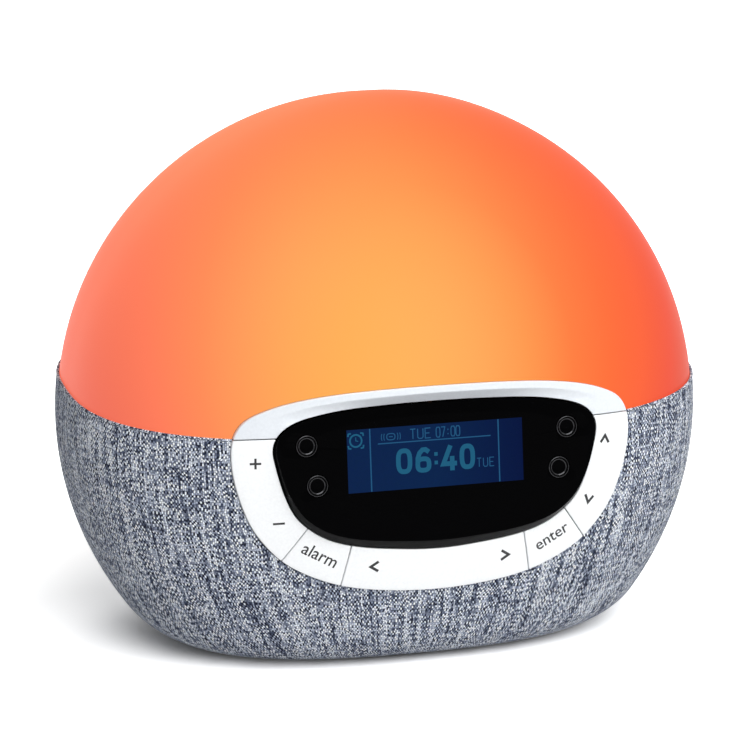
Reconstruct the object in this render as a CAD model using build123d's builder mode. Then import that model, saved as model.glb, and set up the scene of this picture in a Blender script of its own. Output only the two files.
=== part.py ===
from build123d import *
import os
from math import cos, pi, radians, sin, sqrt

os.makedirs("parts", exist_ok=True)

# A sunrise alarm clock: a lit dome on a cloth-covered base, with a ring of keys round a
# black display window. Millimetres, +Z up, front facing -Y, origin on the table under
# the middle of the clock.

# ---- Outer form: a rounded box-like egg, described by half sizes at its waist ----
HALF_WIDTH = 105.0
HALF_DEPTH = 72.0
HALF_HEIGHT = 104.8
WAIST_Z = 73.5
PLAN_POWER = 2.6
FOOT_DEPTH_RATIO = 0.758
SKIRT_Z = 1.0
SKIRT_RADIUS = 11.4
PLAN_POINTS = 24

# ---- Walls, counted as insets from the cloth's outer face ----
CLOTH = 1.2
SHELL_OUTER = 1.25
SHELL_INNER = 3.45
DOME_OUTER = 0.8
DOME_INNER = 3.0
KEY_PROUD = 1.0
KEY_WALL = 2.0
FIT = 0.05

# ---- Seam between dome and base: a plane a little lower at the front ----
SEAM_Z = 86.0
SEAM_TILT = 4.6
DECK_WALL = 2.3
FLANGE_REACH = 9.0
LEDGE_REACH = 14.0

# ---- Front panel: the display window's face, leaning back ----
PANEL_Y = -70.2
PANEL_Z = 73.2
PANEL_TILT = 5.9
GAP = 0.35

RING_OUTLINE = [
    (0, 21.8), (24, 21.4), (43, 19.7), (57, 16.0), (61.7, 13.2), (64.5, 8.7), (65.3, 3.3),
    (64.4, -5.2), (62.3, -12.7), (58.8, -20.7), (54.5, -26.7), (49.5, -31.7), (42, -36.4),
    (31, -40.7), (16, -43.4), (0, -44.3),
]
WINDOW_FOOT = [
    (0, 16.5), (18.5, 16.1), (33, 15.2), (43, 13.4), (48.4, 11.3), (51.5, 8.3), (52.7, 5),
    (52.2, 0.5), (50.5, -6.1), (48.4, -12.1), (45.3, -17.6), (42, -20.8), (36.1, -24.6),
    (28.4, -27.2), (15.3, -29.2), (0, -30.2),
]
WINDOW_FACE = [
    (0, 16.2), (18.5, 15.8), (33, 14.9), (43, 13.1), (48.2, 11.1), (51.2, 8.2), (52.2, 5),
    (51.7, 0.6), (50, -5.8), (47.6, -11.6), (44.3, -16.6), (41, -19.6), (35, -22.9),
    (27.6, -25), (15, -26.6), (0, -27.4),
]
BROW_LID = [
    (0, 19.9), (18.5, 19.3), (33, 17.9), (43, 15.5), (49.0, 12.6), (52.3, 9.2), (53.6, 5.2),
    (53.1, 0.4), (51.4, -6.4), (49.2, -12.5), (46, -18.1), (42.6, -21.5), (36.5, -25.4),
    (28.6, -28.1), (15.4, -30.1), (0, -31.2),
]

# The lines that part the ring into keys: a point on the inner and on the outer edge.
TOP_CUT_V = 8.2
SIDE_CUT = ((42.3, -21.1), (50.0, -31.5))
FOOT_CUT = ((28.4, -27.6), (31.1, -40.5))

# Depths are counted along the panel's normal, negative inwards from the window's face.
BEVEL_DEPTH = 3.0
WINDOW_SKIRT_DEPTH = 5.0
WINDOW_WALL = 2.0
MASK = 0.15
PIN_DEPTH = -10.4
PIN_RADIUS = 0.8
PIN_LENGTH = 8.4
PLATE_FRONT = -13.4
PLATE_BACK = -15.4
LEDGE_BACK = -17.4
BOARD_FRONT = -19.5
BOARD = 1.6
STEM_END = -15.8
STEM_RADIUS = 1.5
SWITCH_SIDE = 4.6
SWITCH_HEIGHT = 1.9
SWITCH_NUB = 0.9

DISPLAY_AT = (-1.0, -0.5)
DISPLAY_SIZE = (57.4, 19.9)
TOP_BUTTON_AT = (42.6, 5.4)
LOW_BUTTON_AT = (39.6, -7.3)
BUTTON_RADIUS = 3.45
BUTTON_HOLE = 3.7

SIDE_ROCKER_AT = (56.3, -9.3)
SIDE_ROCKER_TURN = 17.5
SIDE_STEMS = [(57.5, 0.6), (51.0, -19.0)]
KEY_STEM = (38.0, -30.3)
FOOT_ROCKER_AT = (0.0, -36.6)
FOOT_STEM = (21.5, -35.0)
CARRIER_SCREWS = [(60.8, -4.2), (30.0, -37.6)]
BROW_POSTS = [(-40, 16.5), (0, 18.75), (40, 16.5)]

# ---- Rear panel ----
REAR_Y = 69.0
REAR_Z = 42.0
REAR_TILT = 10.7
REAR_WIDTH = 92.0
REAR_HEIGHT = 44.0
REAR_CORNER = 14.0
REAR_WALL = 2.2
REAR_DEPTH = 8.0
REAR_SCREWS = (38.5, 14.5)
SPEAKER_AT = (-19.0, 0.0)
SPEAKER_RADIUS = 18.5
GRILLE_PITCH = 3.1
JACK_AT = (30.5, -2.5)
USB_AT = (15.0, -4.9)

# ---- Foot plate and boards ----
PLATE_HALF = (61.5, 42.0)
MOUTH_HALF = (52.0, 33.0)
RIM_HALF = (67.0, 47.0)
PLATE_SCREW_HALF = (56.8, 37.5)
PLATE_TOP = 4.4
RIM_TOP = 6.45
BOSS_TOP = 11.0
FOOT_AT = (44.0, 24.0)
FOOT_RADIUS = 7.0
MAIN_BOARD_Z = 10.0
MAIN_BOARD = (84.0, 44.0)
POST_AT = (38.0, 18.0)

seam_rake = radians(SEAM_TILT)
panel_rake = radians(PANEL_TILT)
rear_rake = radians(REAR_TILT)
seam = Plane(origin=(0, 0, SEAM_Z), x_dir=(1, 0, 0), z_dir=(0, -sin(seam_rake), cos(seam_rake)))
panel = Plane(
    origin=(0, PANEL_Y, PANEL_Z), x_dir=(1, 0, 0), z_dir=(0, -cos(panel_rake), sin(panel_rake))
)
rear = Plane(
    origin=(0, REAR_Y, REAR_Z), x_dir=(-1, 0, 0), z_dir=(0, cos(rear_rake), -sin(rear_rake))
)

pieces = {}


def finish(name, part):
    """Label a finished piece and keep it for writing."""
    part.label = name
    pieces[name] = part


# ---------------------------------------------------------------- outer form


def waist_share(z, inset):
    """The form's width at a height, as a share of its waist: a half ellipse."""
    return sqrt(max(0.0, 1 - ((z - WAIST_Z) / (HALF_HEIGHT - inset)) ** 2))


FOOT_SHARE = waist_share(0, 0)


def half_sizes(z, inset):
    """Half width and half depth of the form at a height, drawn in by inset."""
    share = waist_share(z, inset)
    depth_share = share
    if z < WAIST_Z:
        fall = (share - FOOT_SHARE) / (1 - FOOT_SHARE)
        depth_share = FOOT_DEPTH_RATIO + (1 - FOOT_DEPTH_RATIO) * fall
    radius = SKIRT_RADIUS - inset
    below_round = SKIRT_Z + SKIRT_RADIUS - z
    tuck = radius - sqrt(radius**2 - below_round**2) if below_round > 0 else 0
    return (HALF_WIDTH - inset) * share - tuck, (HALF_DEPTH - inset) * depth_share - tuck


def oval(a, b):
    """Points round a superellipse, evenly spaced in angle."""
    points = []
    for i in range(PLAN_POINTS):
        turn = 2 * pi * i / PLAN_POINTS
        reach = (abs(cos(turn)) ** PLAN_POWER + abs(sin(turn)) ** PLAN_POWER) ** (-1 / PLAN_POWER)
        points.append((a * reach * cos(turn), b * reach * sin(turn)))
    return points


def section(z, inset):
    """One level section of the form."""
    with BuildSketch(Plane.XY.offset(z)) as level:
        with BuildLine():
            Spline(*oval(*half_sizes(z, inset)), periodic=True)
        make_face()
    return level.sketch


def base_form(inset):
    """The lower form, from the table up to a little above the seam."""
    radius = SKIRT_RADIUS - inset
    skirt = [SKIRT_Z + inset + radius * (1 - cos(radians(a))) for a in (0, 20, 42, 66)]
    belly = [16, 24, 36, 52, 73.5, 88, 102 + inset]
    with BuildPart() as form:
        loft(sections=[section(z, inset) for z in skirt + belly])
    return form.part


def dome_form(inset):
    """The upper form, from the waist to the crown."""
    reach = HALF_HEIGHT - inset
    heights = [WAIST_Z + reach * sin(radians(a)) for a in (-2, 12, 25, 38, 50, 61, 71, 79, 85)]
    with BuildPart() as form:
        loft(sections=[section(z, inset) for z in heights] + [Vertex(0, 0, WAIST_Z + reach)])
    return form.part


def mirrored(half):
    """A closed outline from its right half, listed from the top middle to the foot middle."""
    return half + [(-u, v) for u, v in reversed(half[1:-1])]


def grown(half, amount):
    """An outline's right half with each point moved square to the curve, outwards if positive."""
    loop = mirrored(half)
    moved = []
    for i in range(len(half)):
        before, here, after = loop[i - 1], loop[i], loop[i + 1]
        run_in = Vector(here[0] - before[0], here[1] - before[1])
        run_out = Vector(after[0] - here[0], after[1] - here[1])
        along = (run_in / run_in.length * run_out.length) + (run_out / run_out.length * run_in.length)
        out = Vector(-along.Y, along.X).normalized() * amount
        moved.append((here[0] + out.X, here[1] + out.Y))
    return moved


def outline_prism(half, grow, low, high):
    """A solid of an outline on the front panel, grown or drawn in, between two depths."""
    with BuildPart() as prism:
        with BuildSketch(panel.offset(low)):
            with BuildLine():
                Spline(*mirrored(grown(half, grow)), periodic=True)
            make_face()
        extrude(amount=high - low)
    return prism.part


def oval_prism(plane, half, low, high):
    """A solid superellipse on a plane, between two levels."""
    with BuildPart() as prism:
        with BuildSketch(plane.offset(low)):
            with BuildLine():
                Spline(*oval(*half), periodic=True)
            make_face()
        extrude(amount=high - low)
    return prism.part


def rear_prism(grow, low, high):
    """A solid of the rear panel's outline, grown or drawn in, between two depths."""
    with BuildPart() as prism:
        with BuildSketch(rear.offset(low)):
            RectangleRounded(
                REAR_WIDTH + 2 * grow, REAR_HEIGHT + 2 * grow, REAR_CORNER + grow
            )
        extrude(amount=high - low)
    return prism.part


def block(plane, middle, size, low, high):
    """A plain block on a plane, between two levels."""
    with BuildPart() as solid:
        with BuildSketch(plane.offset(low)):
            with Locations(middle):
                Rectangle(*size)
        extrude(amount=high - low)
    return solid.part


def discs(plane, spots, radius, low, high):
    """Round columns, or holes, at several spots on a plane."""
    with BuildPart() as columns:
        with BuildSketch(plane.offset(low)):
            with Locations(*spots):
                Circle(radius)
        extrude(amount=high - low)
    return columns.part


def screws(plane, spots, head, head_height, shaft, length):
    """Cross-head screws whose heads stand on a plane, with their shafts behind it."""
    with BuildPart() as group:
        add(discs(plane, spots, head, 0, head_height))
        add(discs(plane, spots, shaft, -length, 0))
        with BuildSketch(plane.offset(head_height)):
            with Locations(*spots):
                Rectangle(head * 1.3, head * 0.3)
                Rectangle(head * 0.3, head * 1.3)
        extrude(amount=-head_height * 0.5, mode=Mode.SUBTRACT)
    return group.part


def turned(plane, spot, profile):
    """A body of revolution on a plane: its profile is (radius, level) points."""
    centre = plane.from_local_coords(Vector(spot[0], spot[1], 0))
    with BuildPart() as solid:
        with BuildSketch(Plane(origin=centre, x_dir=plane.x_dir, z_dir=-plane.y_dir)):
            Polygon(*profile, align=None)
        revolve(axis=Axis(centre, plane.z_dir))
    return solid.part


def both_sides(spots):
    """Each spot and its mirror image."""
    return [(side * u, v) for u, v in spots for side in (-1, 1)]


def four_corners(at):
    """The four spots at plus and minus a distance each way."""
    return [(x * at[0], y * at[1]) for x in (-1, 1) for y in (-1, 1)]


def on_oval(half, degrees_round):
    """Spots round a superellipse at the given angles."""
    spots = []
    for angle in degrees_round:
        turn = radians(angle)
        reach = (abs(cos(turn)) ** PLAN_POWER + abs(sin(turn)) ** PLAN_POWER) ** (-1 / PLAN_POWER)
        spots.append((half[0] * reach * cos(turn), half[1] * reach * sin(turn)))
    return spots


# ---------------------------------------------------------------- base housing

SHELL_TOP = -2 * FIT
DECK_HALF = (104.2, 71.3)
SHELL_CORE = (SHELL_OUTER + SHELL_INNER) / 2
COLLAR_GAP = 0.5
COLLAR_WALL = 2.0
RING_RIM = 2.0
REAR_COLLAR_WALL = 2.0
REAR_LEDGE = 2.0

plate_screw_spots = on_oval(PLATE_SCREW_HALF, (27, 153, 207, 333))
carrier_screw_spots = both_sides(CARRIER_SCREWS)
rear_screw_spots = four_corners(REAR_SCREWS)
deck_screw_spots = on_oval((DECK_HALF[0] - 11.8, DECK_HALF[1] - 11.8), (5, 55, 125, 175))
dome_screw_spots = on_oval((DECK_HALF[0] - 6.2, DECK_HALF[1] - 6.2), (12, 48, 90, 132, 168))
core_form = base_form(SHELL_CORE)


def deck_half(inset):
    return (DECK_HALF[0] - inset, DECK_HALF[1] - inset)


# Cloth cover: a thin sewn sleeve glued over the shell, cut out for the two panels.
with BuildPart() as fabric_cover:
    add(base_form(0))
    add(base_form(CLOTH), mode=Mode.SUBTRACT)
    split(bisect_by=seam, keep=Keep.BOTTOM)
    add(outline_prism(RING_OUTLINE, GAP, -20, 20), mode=Mode.SUBTRACT)
    add(rear_prism(GAP, -14, 10), mode=Mode.SUBTRACT)
    add(oval_prism(Plane.XY, (PLATE_HALF[0] + GAP, PLATE_HALF[1] + GAP), 0, 4), mode=Mode.SUBTRACT)
finish("fabric_cover", fabric_cover.part)

# Ledge under the dome's flange and the light tray.
with BuildPart() as deck_ledge:
    add(core_form)
    split(bisect_by=seam.offset(SHELL_TOP), keep=Keep.BOTTOM)
    split(bisect_by=seam.offset(SHELL_TOP - DECK_WALL), keep=Keep.TOP)
    add(oval_prism(seam, deck_half(LEDGE_REACH), -10, 10), mode=Mode.SUBTRACT)

# Collar and ledge behind the front opening, which carry the key carrier.
with BuildPart() as front_collar:
    add(outline_prism(RING_OUTLINE, COLLAR_GAP + COLLAR_WALL, LEDGE_BACK, 20))
    add(outline_prism(RING_OUTLINE, COLLAR_GAP, PLATE_BACK - FIT, 21), mode=Mode.SUBTRACT)
    add(outline_prism(RING_OUTLINE, -RING_RIM, LEDGE_BACK - 1, 0), mode=Mode.SUBTRACT)
    add(core_form, mode=Mode.INTERSECT)
    split(bisect_by=seam.offset(SHELL_TOP), keep=Keep.BOTTOM)
    add(discs(panel, carrier_screw_spots, 3.6, LEDGE_BACK, PLATE_BACK - FIT))

# Collar and ledge behind the rear opening.
with BuildPart() as rear_collar:
    add(rear_prism(0.4 + REAR_COLLAR_WALL, -REAR_DEPTH - REAR_LEDGE, 8))
    add(rear_prism(0.4, -REAR_DEPTH - FIT, 9), mode=Mode.SUBTRACT)
    add(rear_prism(-3, -REAR_DEPTH - 4, 0), mode=Mode.SUBTRACT)
    add(core_form, mode=Mode.INTERSECT)
    add(discs(rear, rear_screw_spots, 4.5, -REAR_DEPTH - REAR_LEDGE, -REAR_DEPTH - FIT))

with BuildPart() as base_shell:
    add(base_form(SHELL_OUTER))
    add(base_form(SHELL_INNER), mode=Mode.SUBTRACT)
    split(bisect_by=seam.offset(SHELL_TOP), keep=Keep.BOTTOM)
    add(deck_ledge.part)
    add(outline_prism(RING_OUTLINE, COLLAR_GAP, -26, 20), mode=Mode.SUBTRACT)
    add(front_collar.part)
    add(rear_prism(0.4, -14, 10), mode=Mode.SUBTRACT)
    add(rear_collar.part)
    add(oval_prism(Plane.XY, RIM_HALF, SKIRT_Z + 2, RIM_TOP))
    add(discs(Plane.XY, plate_screw_spots, 3.4, RIM_TOP - 1, BOSS_TOP))
    add(oval_prism(Plane.XY, (PLATE_HALF[0] + 0.3, PLATE_HALF[1] + 0.3), 0, 4.45), mode=Mode.SUBTRACT)
    add(oval_prism(Plane.XY, MOUTH_HALF, 4, 7), mode=Mode.SUBTRACT)
    add(discs(Plane.XY, plate_screw_spots, 1.3, 0, BOSS_TOP - 1), mode=Mode.SUBTRACT)
    add(discs(panel, carrier_screw_spots, 1.1, -26, 0), mode=Mode.SUBTRACT)
    add(discs(rear, rear_screw_spots, 1.1, -14, 0), mode=Mode.SUBTRACT)
    add(discs(seam, deck_screw_spots, 1.1, -6, 4), mode=Mode.SUBTRACT)
    add(discs(seam, dome_screw_spots, 1.4, -6, 4), mode=Mode.SUBTRACT)
finish("base_shell", base_shell.part)

# ---------------------------------------------------------------- foot plate

# Foot plate: closes the mouth of the base, with columns for the main board.
with BuildPart() as base_plate:
    add(oval_prism(Plane.XY, PLATE_HALF, SKIRT_Z, PLATE_TOP))
    add(discs(Plane.XY, four_corners(POST_AT), 3.2, PLATE_TOP - 1, MAIN_BOARD_Z))
    add(discs(Plane.XY, four_corners(POST_AT), 1.0, PLATE_TOP, MAIN_BOARD_Z + 1), mode=Mode.SUBTRACT)
    add(discs(Plane.XY, plate_screw_spots, 2.9, 0, 2.8), mode=Mode.SUBTRACT)
    add(discs(Plane.XY, plate_screw_spots, 1.4, 0, 8), mode=Mode.SUBTRACT)
    add(discs(Plane.XY, four_corners(FOOT_AT), 2.5, 0, 3.0), mode=Mode.SUBTRACT)
    with BuildSketch(Plane.XY.offset(SKIRT_Z)):
        with GridLocations(7.0, 0, 5, 1):
            SlotOverall(16, 2.4, rotation=90)
    extrude(amount=PLATE_TOP, mode=Mode.SUBTRACT)
finish("base_plate", base_plate.part)

with BuildPart() as rubber_feet:
    add(discs(Plane.XY, four_corners(FOOT_AT), FOOT_RADIUS, 0, SKIRT_Z - 0.02))
    chamfer(rubber_feet.faces().filter_by(Axis.Z).sort_by(Axis.Z)[0:4].edges(), 0.4)
    add(discs(Plane.XY, four_corners(FOOT_AT), 2.4, 0.5, 2.8))
finish("rubber_feet", rubber_feet.part)

base_screw_seat = Plane(origin=(0, 0, 2.75), x_dir=(1, 0, 0), z_dir=(0, 0, -1))
finish("base_screws", screws(
    base_screw_seat, [(x, -y) for x, y in plate_screw_spots], 2.6, 1.5, 1.1, 6.5))

# ---------------------------------------------------------------- dome and light deck

# Dome: a moulded opal shell with an inward flange, notched for the brow of the key ring.
with BuildPart() as dome_flange:
    add(base_form((DOME_OUTER + DOME_INNER) / 2))
    split(bisect_by=seam.offset(2 * FIT), keep=Keep.TOP)
    split(bisect_by=seam.offset(2 * FIT + 2.0), keep=Keep.BOTTOM)
    add(oval_prism(seam, deck_half(FLANGE_REACH), -10, 10), mode=Mode.SUBTRACT)

with BuildPart() as dome_diffuser:
    add(dome_form(DOME_OUTER))
    add(dome_form(DOME_INNER), mode=Mode.SUBTRACT)
    split(bisect_by=seam.offset(2 * FIT), keep=Keep.TOP)
    add(dome_flange.part)
    add(outline_prism(RING_OUTLINE, GAP, -26, 20), mode=Mode.SUBTRACT)
    add(discs(seam, dome_screw_spots, 0.9, -1, 1.6), mode=Mode.SUBTRACT)
finish("dome_diffuser", dome_diffuser.part)

# Light tray: a white plate that closes the base under the dome and carries the lamps.
TRAY_TOP = 1.8
CABLE_SLOT = (-64.0, 9.0)
with BuildPart() as light_tray:
    add(oval_prism(seam, deck_half(FLANGE_REACH + 0.5), -FIT, TRAY_TOP))
    add(outline_prism(RING_OUTLINE, 1.2, -26, 20), mode=Mode.SUBTRACT)
    add(block(seam, CABLE_SLOT, (10, 4), -2, 4), mode=Mode.SUBTRACT)
    add(discs(seam, deck_screw_spots, 1.3, -2, 4), mode=Mode.SUBTRACT)
finish("light_tray", light_tray.part)

under_ledge = Plane(
    origin=seam.from_local_coords(Vector(0, 0, SHELL_TOP - DECK_WALL - FIT)),
    x_dir=seam.x_dir,
    z_dir=-seam.z_dir,
)
finish("dome_screws", screws(under_ledge, [(x, -y) for x, y in dome_screw_spots], 2.2, 1.4, 0.85, 3.7))
tray_top = seam.offset(TRAY_TOP + FIT)
finish("tray_screws", screws(tray_top, deck_screw_spots, 2.4, 1.4, 1.0, 3.8))

SPREADER = (116.0, 62.0)
LED_BOARD = (108.0, 54.0)
LED_MIDDLE = (0.0, -1.0)
SPREADER_LEVEL = TRAY_TOP + FIT
LED_LEVEL = SPREADER_LEVEL + 2.0 + FIT
CHIP_LEVEL = LED_LEVEL + BOARD + 0.02
led_screw_spots = [(x * 49, LED_MIDDLE[1] + y * 22) for x in (-1, 1) for y in (-1, 1)]

with BuildPart() as heat_spreader:
    add(block(seam, LED_MIDDLE, SPREADER, SPREADER_LEVEL, LED_LEVEL - FIT))
    add(discs(seam, led_screw_spots, 1.0, 0, 8), mode=Mode.SUBTRACT)
finish("heat_spreader", heat_spreader.part)

with BuildPart() as led_board:
    add(block(seam, LED_MIDDLE, LED_BOARD, LED_LEVEL, LED_LEVEL + BOARD))
    add(discs(seam, led_screw_spots, 1.3, 0, 8), mode=Mode.SUBTRACT)
finish("led_board", led_board.part)
finish("led_board_screws", screws(
    seam.offset(LED_LEVEL + BOARD + 0.02), led_screw_spots, 2.3, 1.3, 0.9, 3.4))


def led_chips(shift):
    """A row pattern of small lamps on the board, moved sideways by shift."""
    with BuildPart() as chips:
        with BuildSketch(seam.offset(CHIP_LEVEL)):
            with Locations((LED_MIDDLE[0] + shift, LED_MIDDLE[1])):
                with GridLocations(22, 14, 4, 3):
                    Rectangle(3.5, 2.8)
        extrude(amount=0.9)
    return chips.part


for colour, shift in (("red", -6.0), ("amber", 0.0), ("white", 6.0)):
    finish(f"{colour}_leds", led_chips(shift))

# ---------------------------------------------------------------- front panel


def skin_depth(u, v):
    """Depth at which the line through (u, v), square to the panel, meets the keys' faces."""
    low, high = -30.0, 20.0
    while high - low > 0.001:
        middle = (low + high) / 2
        spot = panel.from_local_coords(Vector(u, v, middle))
        a, b = half_sizes(spot.Z, -KEY_PROUD)
        inside = (abs(spot.X) / a) ** PLAN_POWER + (abs(spot.Y) / b) ** PLAN_POWER < 1
        low, high = (middle, high) if inside else (low, middle)
    return low


def hinge_plane(at, turn):
    """A plane square to a rocker's pin: its x runs outwards, its normal along the pin."""
    centre = panel.from_local_coords(Vector(at[0], at[1], PIN_DEPTH))
    tip = panel.from_local_coords(Vector(at[0] + cos(radians(turn)), at[1] + sin(radians(turn)), PIN_DEPTH))
    return Plane(origin=centre, x_dir=panel.z_dir, z_dir=tip - centre)


def cut_ends(cut, shift, side):
    """A parting line run past both edges of the ring and moved sideways, on one side."""
    inner, outer = Vector(*cut[0]), Vector(*cut[1])
    along = (outer - inner).normalized()
    across = Vector(-along.Y, along.X) * shift
    start = inner - along * 8 + across
    end = outer + along * 12 + across
    return (side * start.X, start.Y), (side * end.X, end.Y)


rockers = {
    "left_rocker": ((-SIDE_ROCKER_AT[0], SIDE_ROCKER_AT[1]), SIDE_ROCKER_TURN),
    "right_rocker": (SIDE_ROCKER_AT, -SIDE_ROCKER_TURN),
    "foot_rocker": (FOOT_ROCKER_AT, 90.0),
}
LUG_HALF = 2.0
EAR_START = 2.3
EAR_WALL = 1.6
LUG_SIZE = 4.2

# The ring's whole band, one key wall thick, following the body's own curves.
with BuildPart() as key_band:
    add(outline_prism(RING_OUTLINE, 0, -16, 10))
    add(outline_prism(WINDOW_FOOT, GAP, -17, 11), mode=Mode.SUBTRACT)
    add(base_form(-KEY_PROUD), mode=Mode.INTERSECT)
    add(base_form(KEY_WALL - KEY_PROUD), mode=Mode.SUBTRACT)


def ring_key(region, stems, hinge=None):
    """One key cut from the band, with its stems, and its pin lug if it rocks."""
    with BuildPart() as key:
        add(key_band.part)
        with BuildSketch(panel.offset(-20)):
            Polygon(*region, align=None)
        extrude(amount=32, mode=Mode.INTERSECT)
        for u, v in stems:
            add(discs(panel, [(u, v)], STEM_RADIUS, STEM_END, skin_depth(u, v) - KEY_WALL / 2))
        if hinge:
            square = hinge_plane(*hinge)
            rise = skin_depth(*hinge[0]) - KEY_WALL / 2 - PIN_DEPTH
            add(block(square, ((rise - 1.8) / 2, 0), (rise + 1.8, LUG_SIZE), -LUG_HALF, LUG_HALF))
            add(discs(square, [(0, 0)], PIN_RADIUS + 0.06, -5, 5), mode=Mode.SUBTRACT)
    return key.part


half_gap = GAP / 2
for side, name, key_name in ((-1, "left_rocker", "left_key"), (1, "right_rocker", "right_key")):
    upper_in, upper_out = cut_ends(SIDE_CUT, half_gap, side)
    top = TOP_CUT_V - half_gap
    finish(name, ring_key(
        [(side * 38, top), (side * 78, top), upper_out, upper_in],
        [(side * u, v) for u, v in SIDE_STEMS],
        rockers[name],
    ))
    key_in, key_out = cut_ends(SIDE_CUT, -half_gap, side)
    foot_in, foot_out = cut_ends(FOOT_CUT, half_gap, side)
    finish(key_name, ring_key([key_in, key_out, foot_out, foot_in], [(side * KEY_STEM[0], KEY_STEM[1])]))

right_in, right_out = cut_ends(FOOT_CUT, -half_gap, 1)
left_in, left_out = cut_ends(FOOT_CUT, -half_gap, -1)
finish("foot_rocker", ring_key(
    [right_in, right_out, left_out, left_in],
    both_sides([FOOT_STEM]),
    rockers["foot_rocker"],
))

# Brow: the fixed top of the ring, sloping in to the sunken window.
BROW_BACK = -2.5
BROW_RISE = 4.2
brow_foot = grown(WINDOW_FOOT, GAP)
brow_top = [
    (u + (u - a) * 2 / BROW_RISE, v + (v - b) * 2 / BROW_RISE)
    for (u, v), (a, b) in zip(BROW_LID, brow_foot)
]
with BuildPart() as brow_slope:
    for half, level in ((brow_foot, -FIT), (brow_top, BROW_RISE + 2)):
        with BuildSketch(panel.offset(level)):
            with BuildLine():
                Spline(*mirrored(half), periodic=True)
            make_face()
    loft()
with BuildPart() as brow_cavity:
    add(base_form(KEY_WALL - KEY_PROUD))
    split(bisect_by=panel.offset(BROW_BACK), keep=Keep.BOTTOM)
with BuildPart() as brow_bezel:
    add(outline_prism(RING_OUTLINE, 0, -16, 10))
    add(block(panel, (0, TOP_CUT_V + half_gap + 20), (160, 40), -17, 12), mode=Mode.INTERSECT)
    add(outline_prism(WINDOW_FOOT, GAP, -17, 0), mode=Mode.SUBTRACT)
    add(brow_slope.part, mode=Mode.SUBTRACT)
    add(base_form(-KEY_PROUD), mode=Mode.INTERSECT)
    add(brow_cavity.part, mode=Mode.SUBTRACT)
    add(discs(panel, BROW_POSTS, 1.8, PLATE_FRONT + FIT, BROW_BACK + 0.5))
    add(discs(panel, BROW_POSTS, 0.8, PLATE_FRONT - 1, -6), mode=Mode.SUBTRACT)
finish("brow_bezel", brow_bezel.part)

# Display window: a black-rimmed clear moulding, a flat face with a bevelled, flaring rim.
button_spots = both_sides([TOP_BUTTON_AT, LOW_BUTTON_AT])
with BuildPart() as display_window:
    with BuildSketch(panel):
        with BuildLine():
            Spline(*mirrored(WINDOW_FACE), periodic=True)
        make_face()
    with BuildSketch(panel.offset(-BEVEL_DEPTH)):
        with BuildLine():
            Spline(*mirrored(WINDOW_FOOT), periodic=True)
        make_face()
    loft()
    add(outline_prism(WINDOW_FOOT, 0, -WINDOW_SKIRT_DEPTH, -BEVEL_DEPTH))
    add(outline_prism(WINDOW_FOOT, -2.6, -WINDOW_SKIRT_DEPTH - 1, -WINDOW_WALL), mode=Mode.SUBTRACT)
    add(discs(panel, button_spots, BUTTON_HOLE, -3, 1), mode=Mode.SUBTRACT)
finish("display_window", display_window.part)

with BuildPart() as window_mask:
    add(outline_prism(WINDOW_FOOT, -2.9, -WINDOW_WALL - FIT - MASK, -WINDOW_WALL - FIT))
    add(block(panel, DISPLAY_AT, DISPLAY_SIZE, -4, 1), mode=Mode.SUBTRACT)
    add(discs(panel, button_spots, BUTTON_HOLE, -3, 1), mode=Mode.SUBTRACT)
finish("window_mask", window_mask.part)

GLASS_FRONT = -2.3
GLASS_SIZE = (61.0, 22.6)
GUIDE_FRONT = GLASS_FRONT - 2.0 - FIT
GUIDE_BACK = GUIDE_FRONT - 2.5
finish("lcd_glass", block(panel, DISPLAY_AT, GLASS_SIZE, GLASS_FRONT - 2.0, GLASS_FRONT))
finish("backlight_guide", block(panel, DISPLAY_AT, GLASS_SIZE, GUIDE_BACK, GUIDE_FRONT))
with BuildPart() as lcd_frame:
    add(block(panel, DISPLAY_AT, (63.6, 25.2), BOARD_FRONT + FIT, GLASS_FRONT))
    add(block(panel, DISPLAY_AT, (61.3, 22.9), GUIDE_BACK - FIT, 0), mode=Mode.SUBTRACT)
    add(block(panel, DISPLAY_AT, (56, 18), BOARD_FRONT, 0), mode=Mode.SUBTRACT)
finish("lcd_frame", lcd_frame.part)

# Key carrier: the moulded plate behind the keys, with ears for the rockers' pins.
with BuildPart() as key_carrier:
    add(outline_prism(RING_OUTLINE, 0, PLATE_BACK, PLATE_FRONT))
    add(outline_prism(WINDOW_FOOT, -0.2, PLATE_FRONT - 1, -WINDOW_SKIRT_DEPTH - FIT))
    add(outline_prism(WINDOW_FOOT, -1.8, PLATE_FRONT, 0), mode=Mode.SUBTRACT)
    for at, turn in rockers.values():
        square = hinge_plane(at, turn)
        ear_foot = PLATE_FRONT - 0.5 - PIN_DEPTH
        ear = ((ear_foot + 1.4) / 2, 0)
        for start in (EAR_START, -EAR_START - EAR_WALL):
            add(block(square, ear, (1.4 - ear_foot, LUG_SIZE), start, start + EAR_WALL))
        add(discs(square, [(0, 0)], PIN_RADIUS + 0.02, -5, 5), mode=Mode.SUBTRACT)
    add(block(panel, DISPLAY_AT, (64.6, 26.2), -20, -8), mode=Mode.SUBTRACT)
    add(discs(panel, both_sides(SIDE_STEMS + [KEY_STEM, FOOT_STEM]), STEM_RADIUS + 0.6, -17, -12),
        mode=Mode.SUBTRACT)
    add(discs(panel, button_spots, 2.4, -17, -12), mode=Mode.SUBTRACT)
    add(discs(panel, carrier_screw_spots, 1.4, -17, -12), mode=Mode.SUBTRACT)
    add(discs(panel, BROW_POSTS, 1.1, -17, -12), mode=Mode.SUBTRACT)
finish("key_carrier", key_carrier.part)

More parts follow.
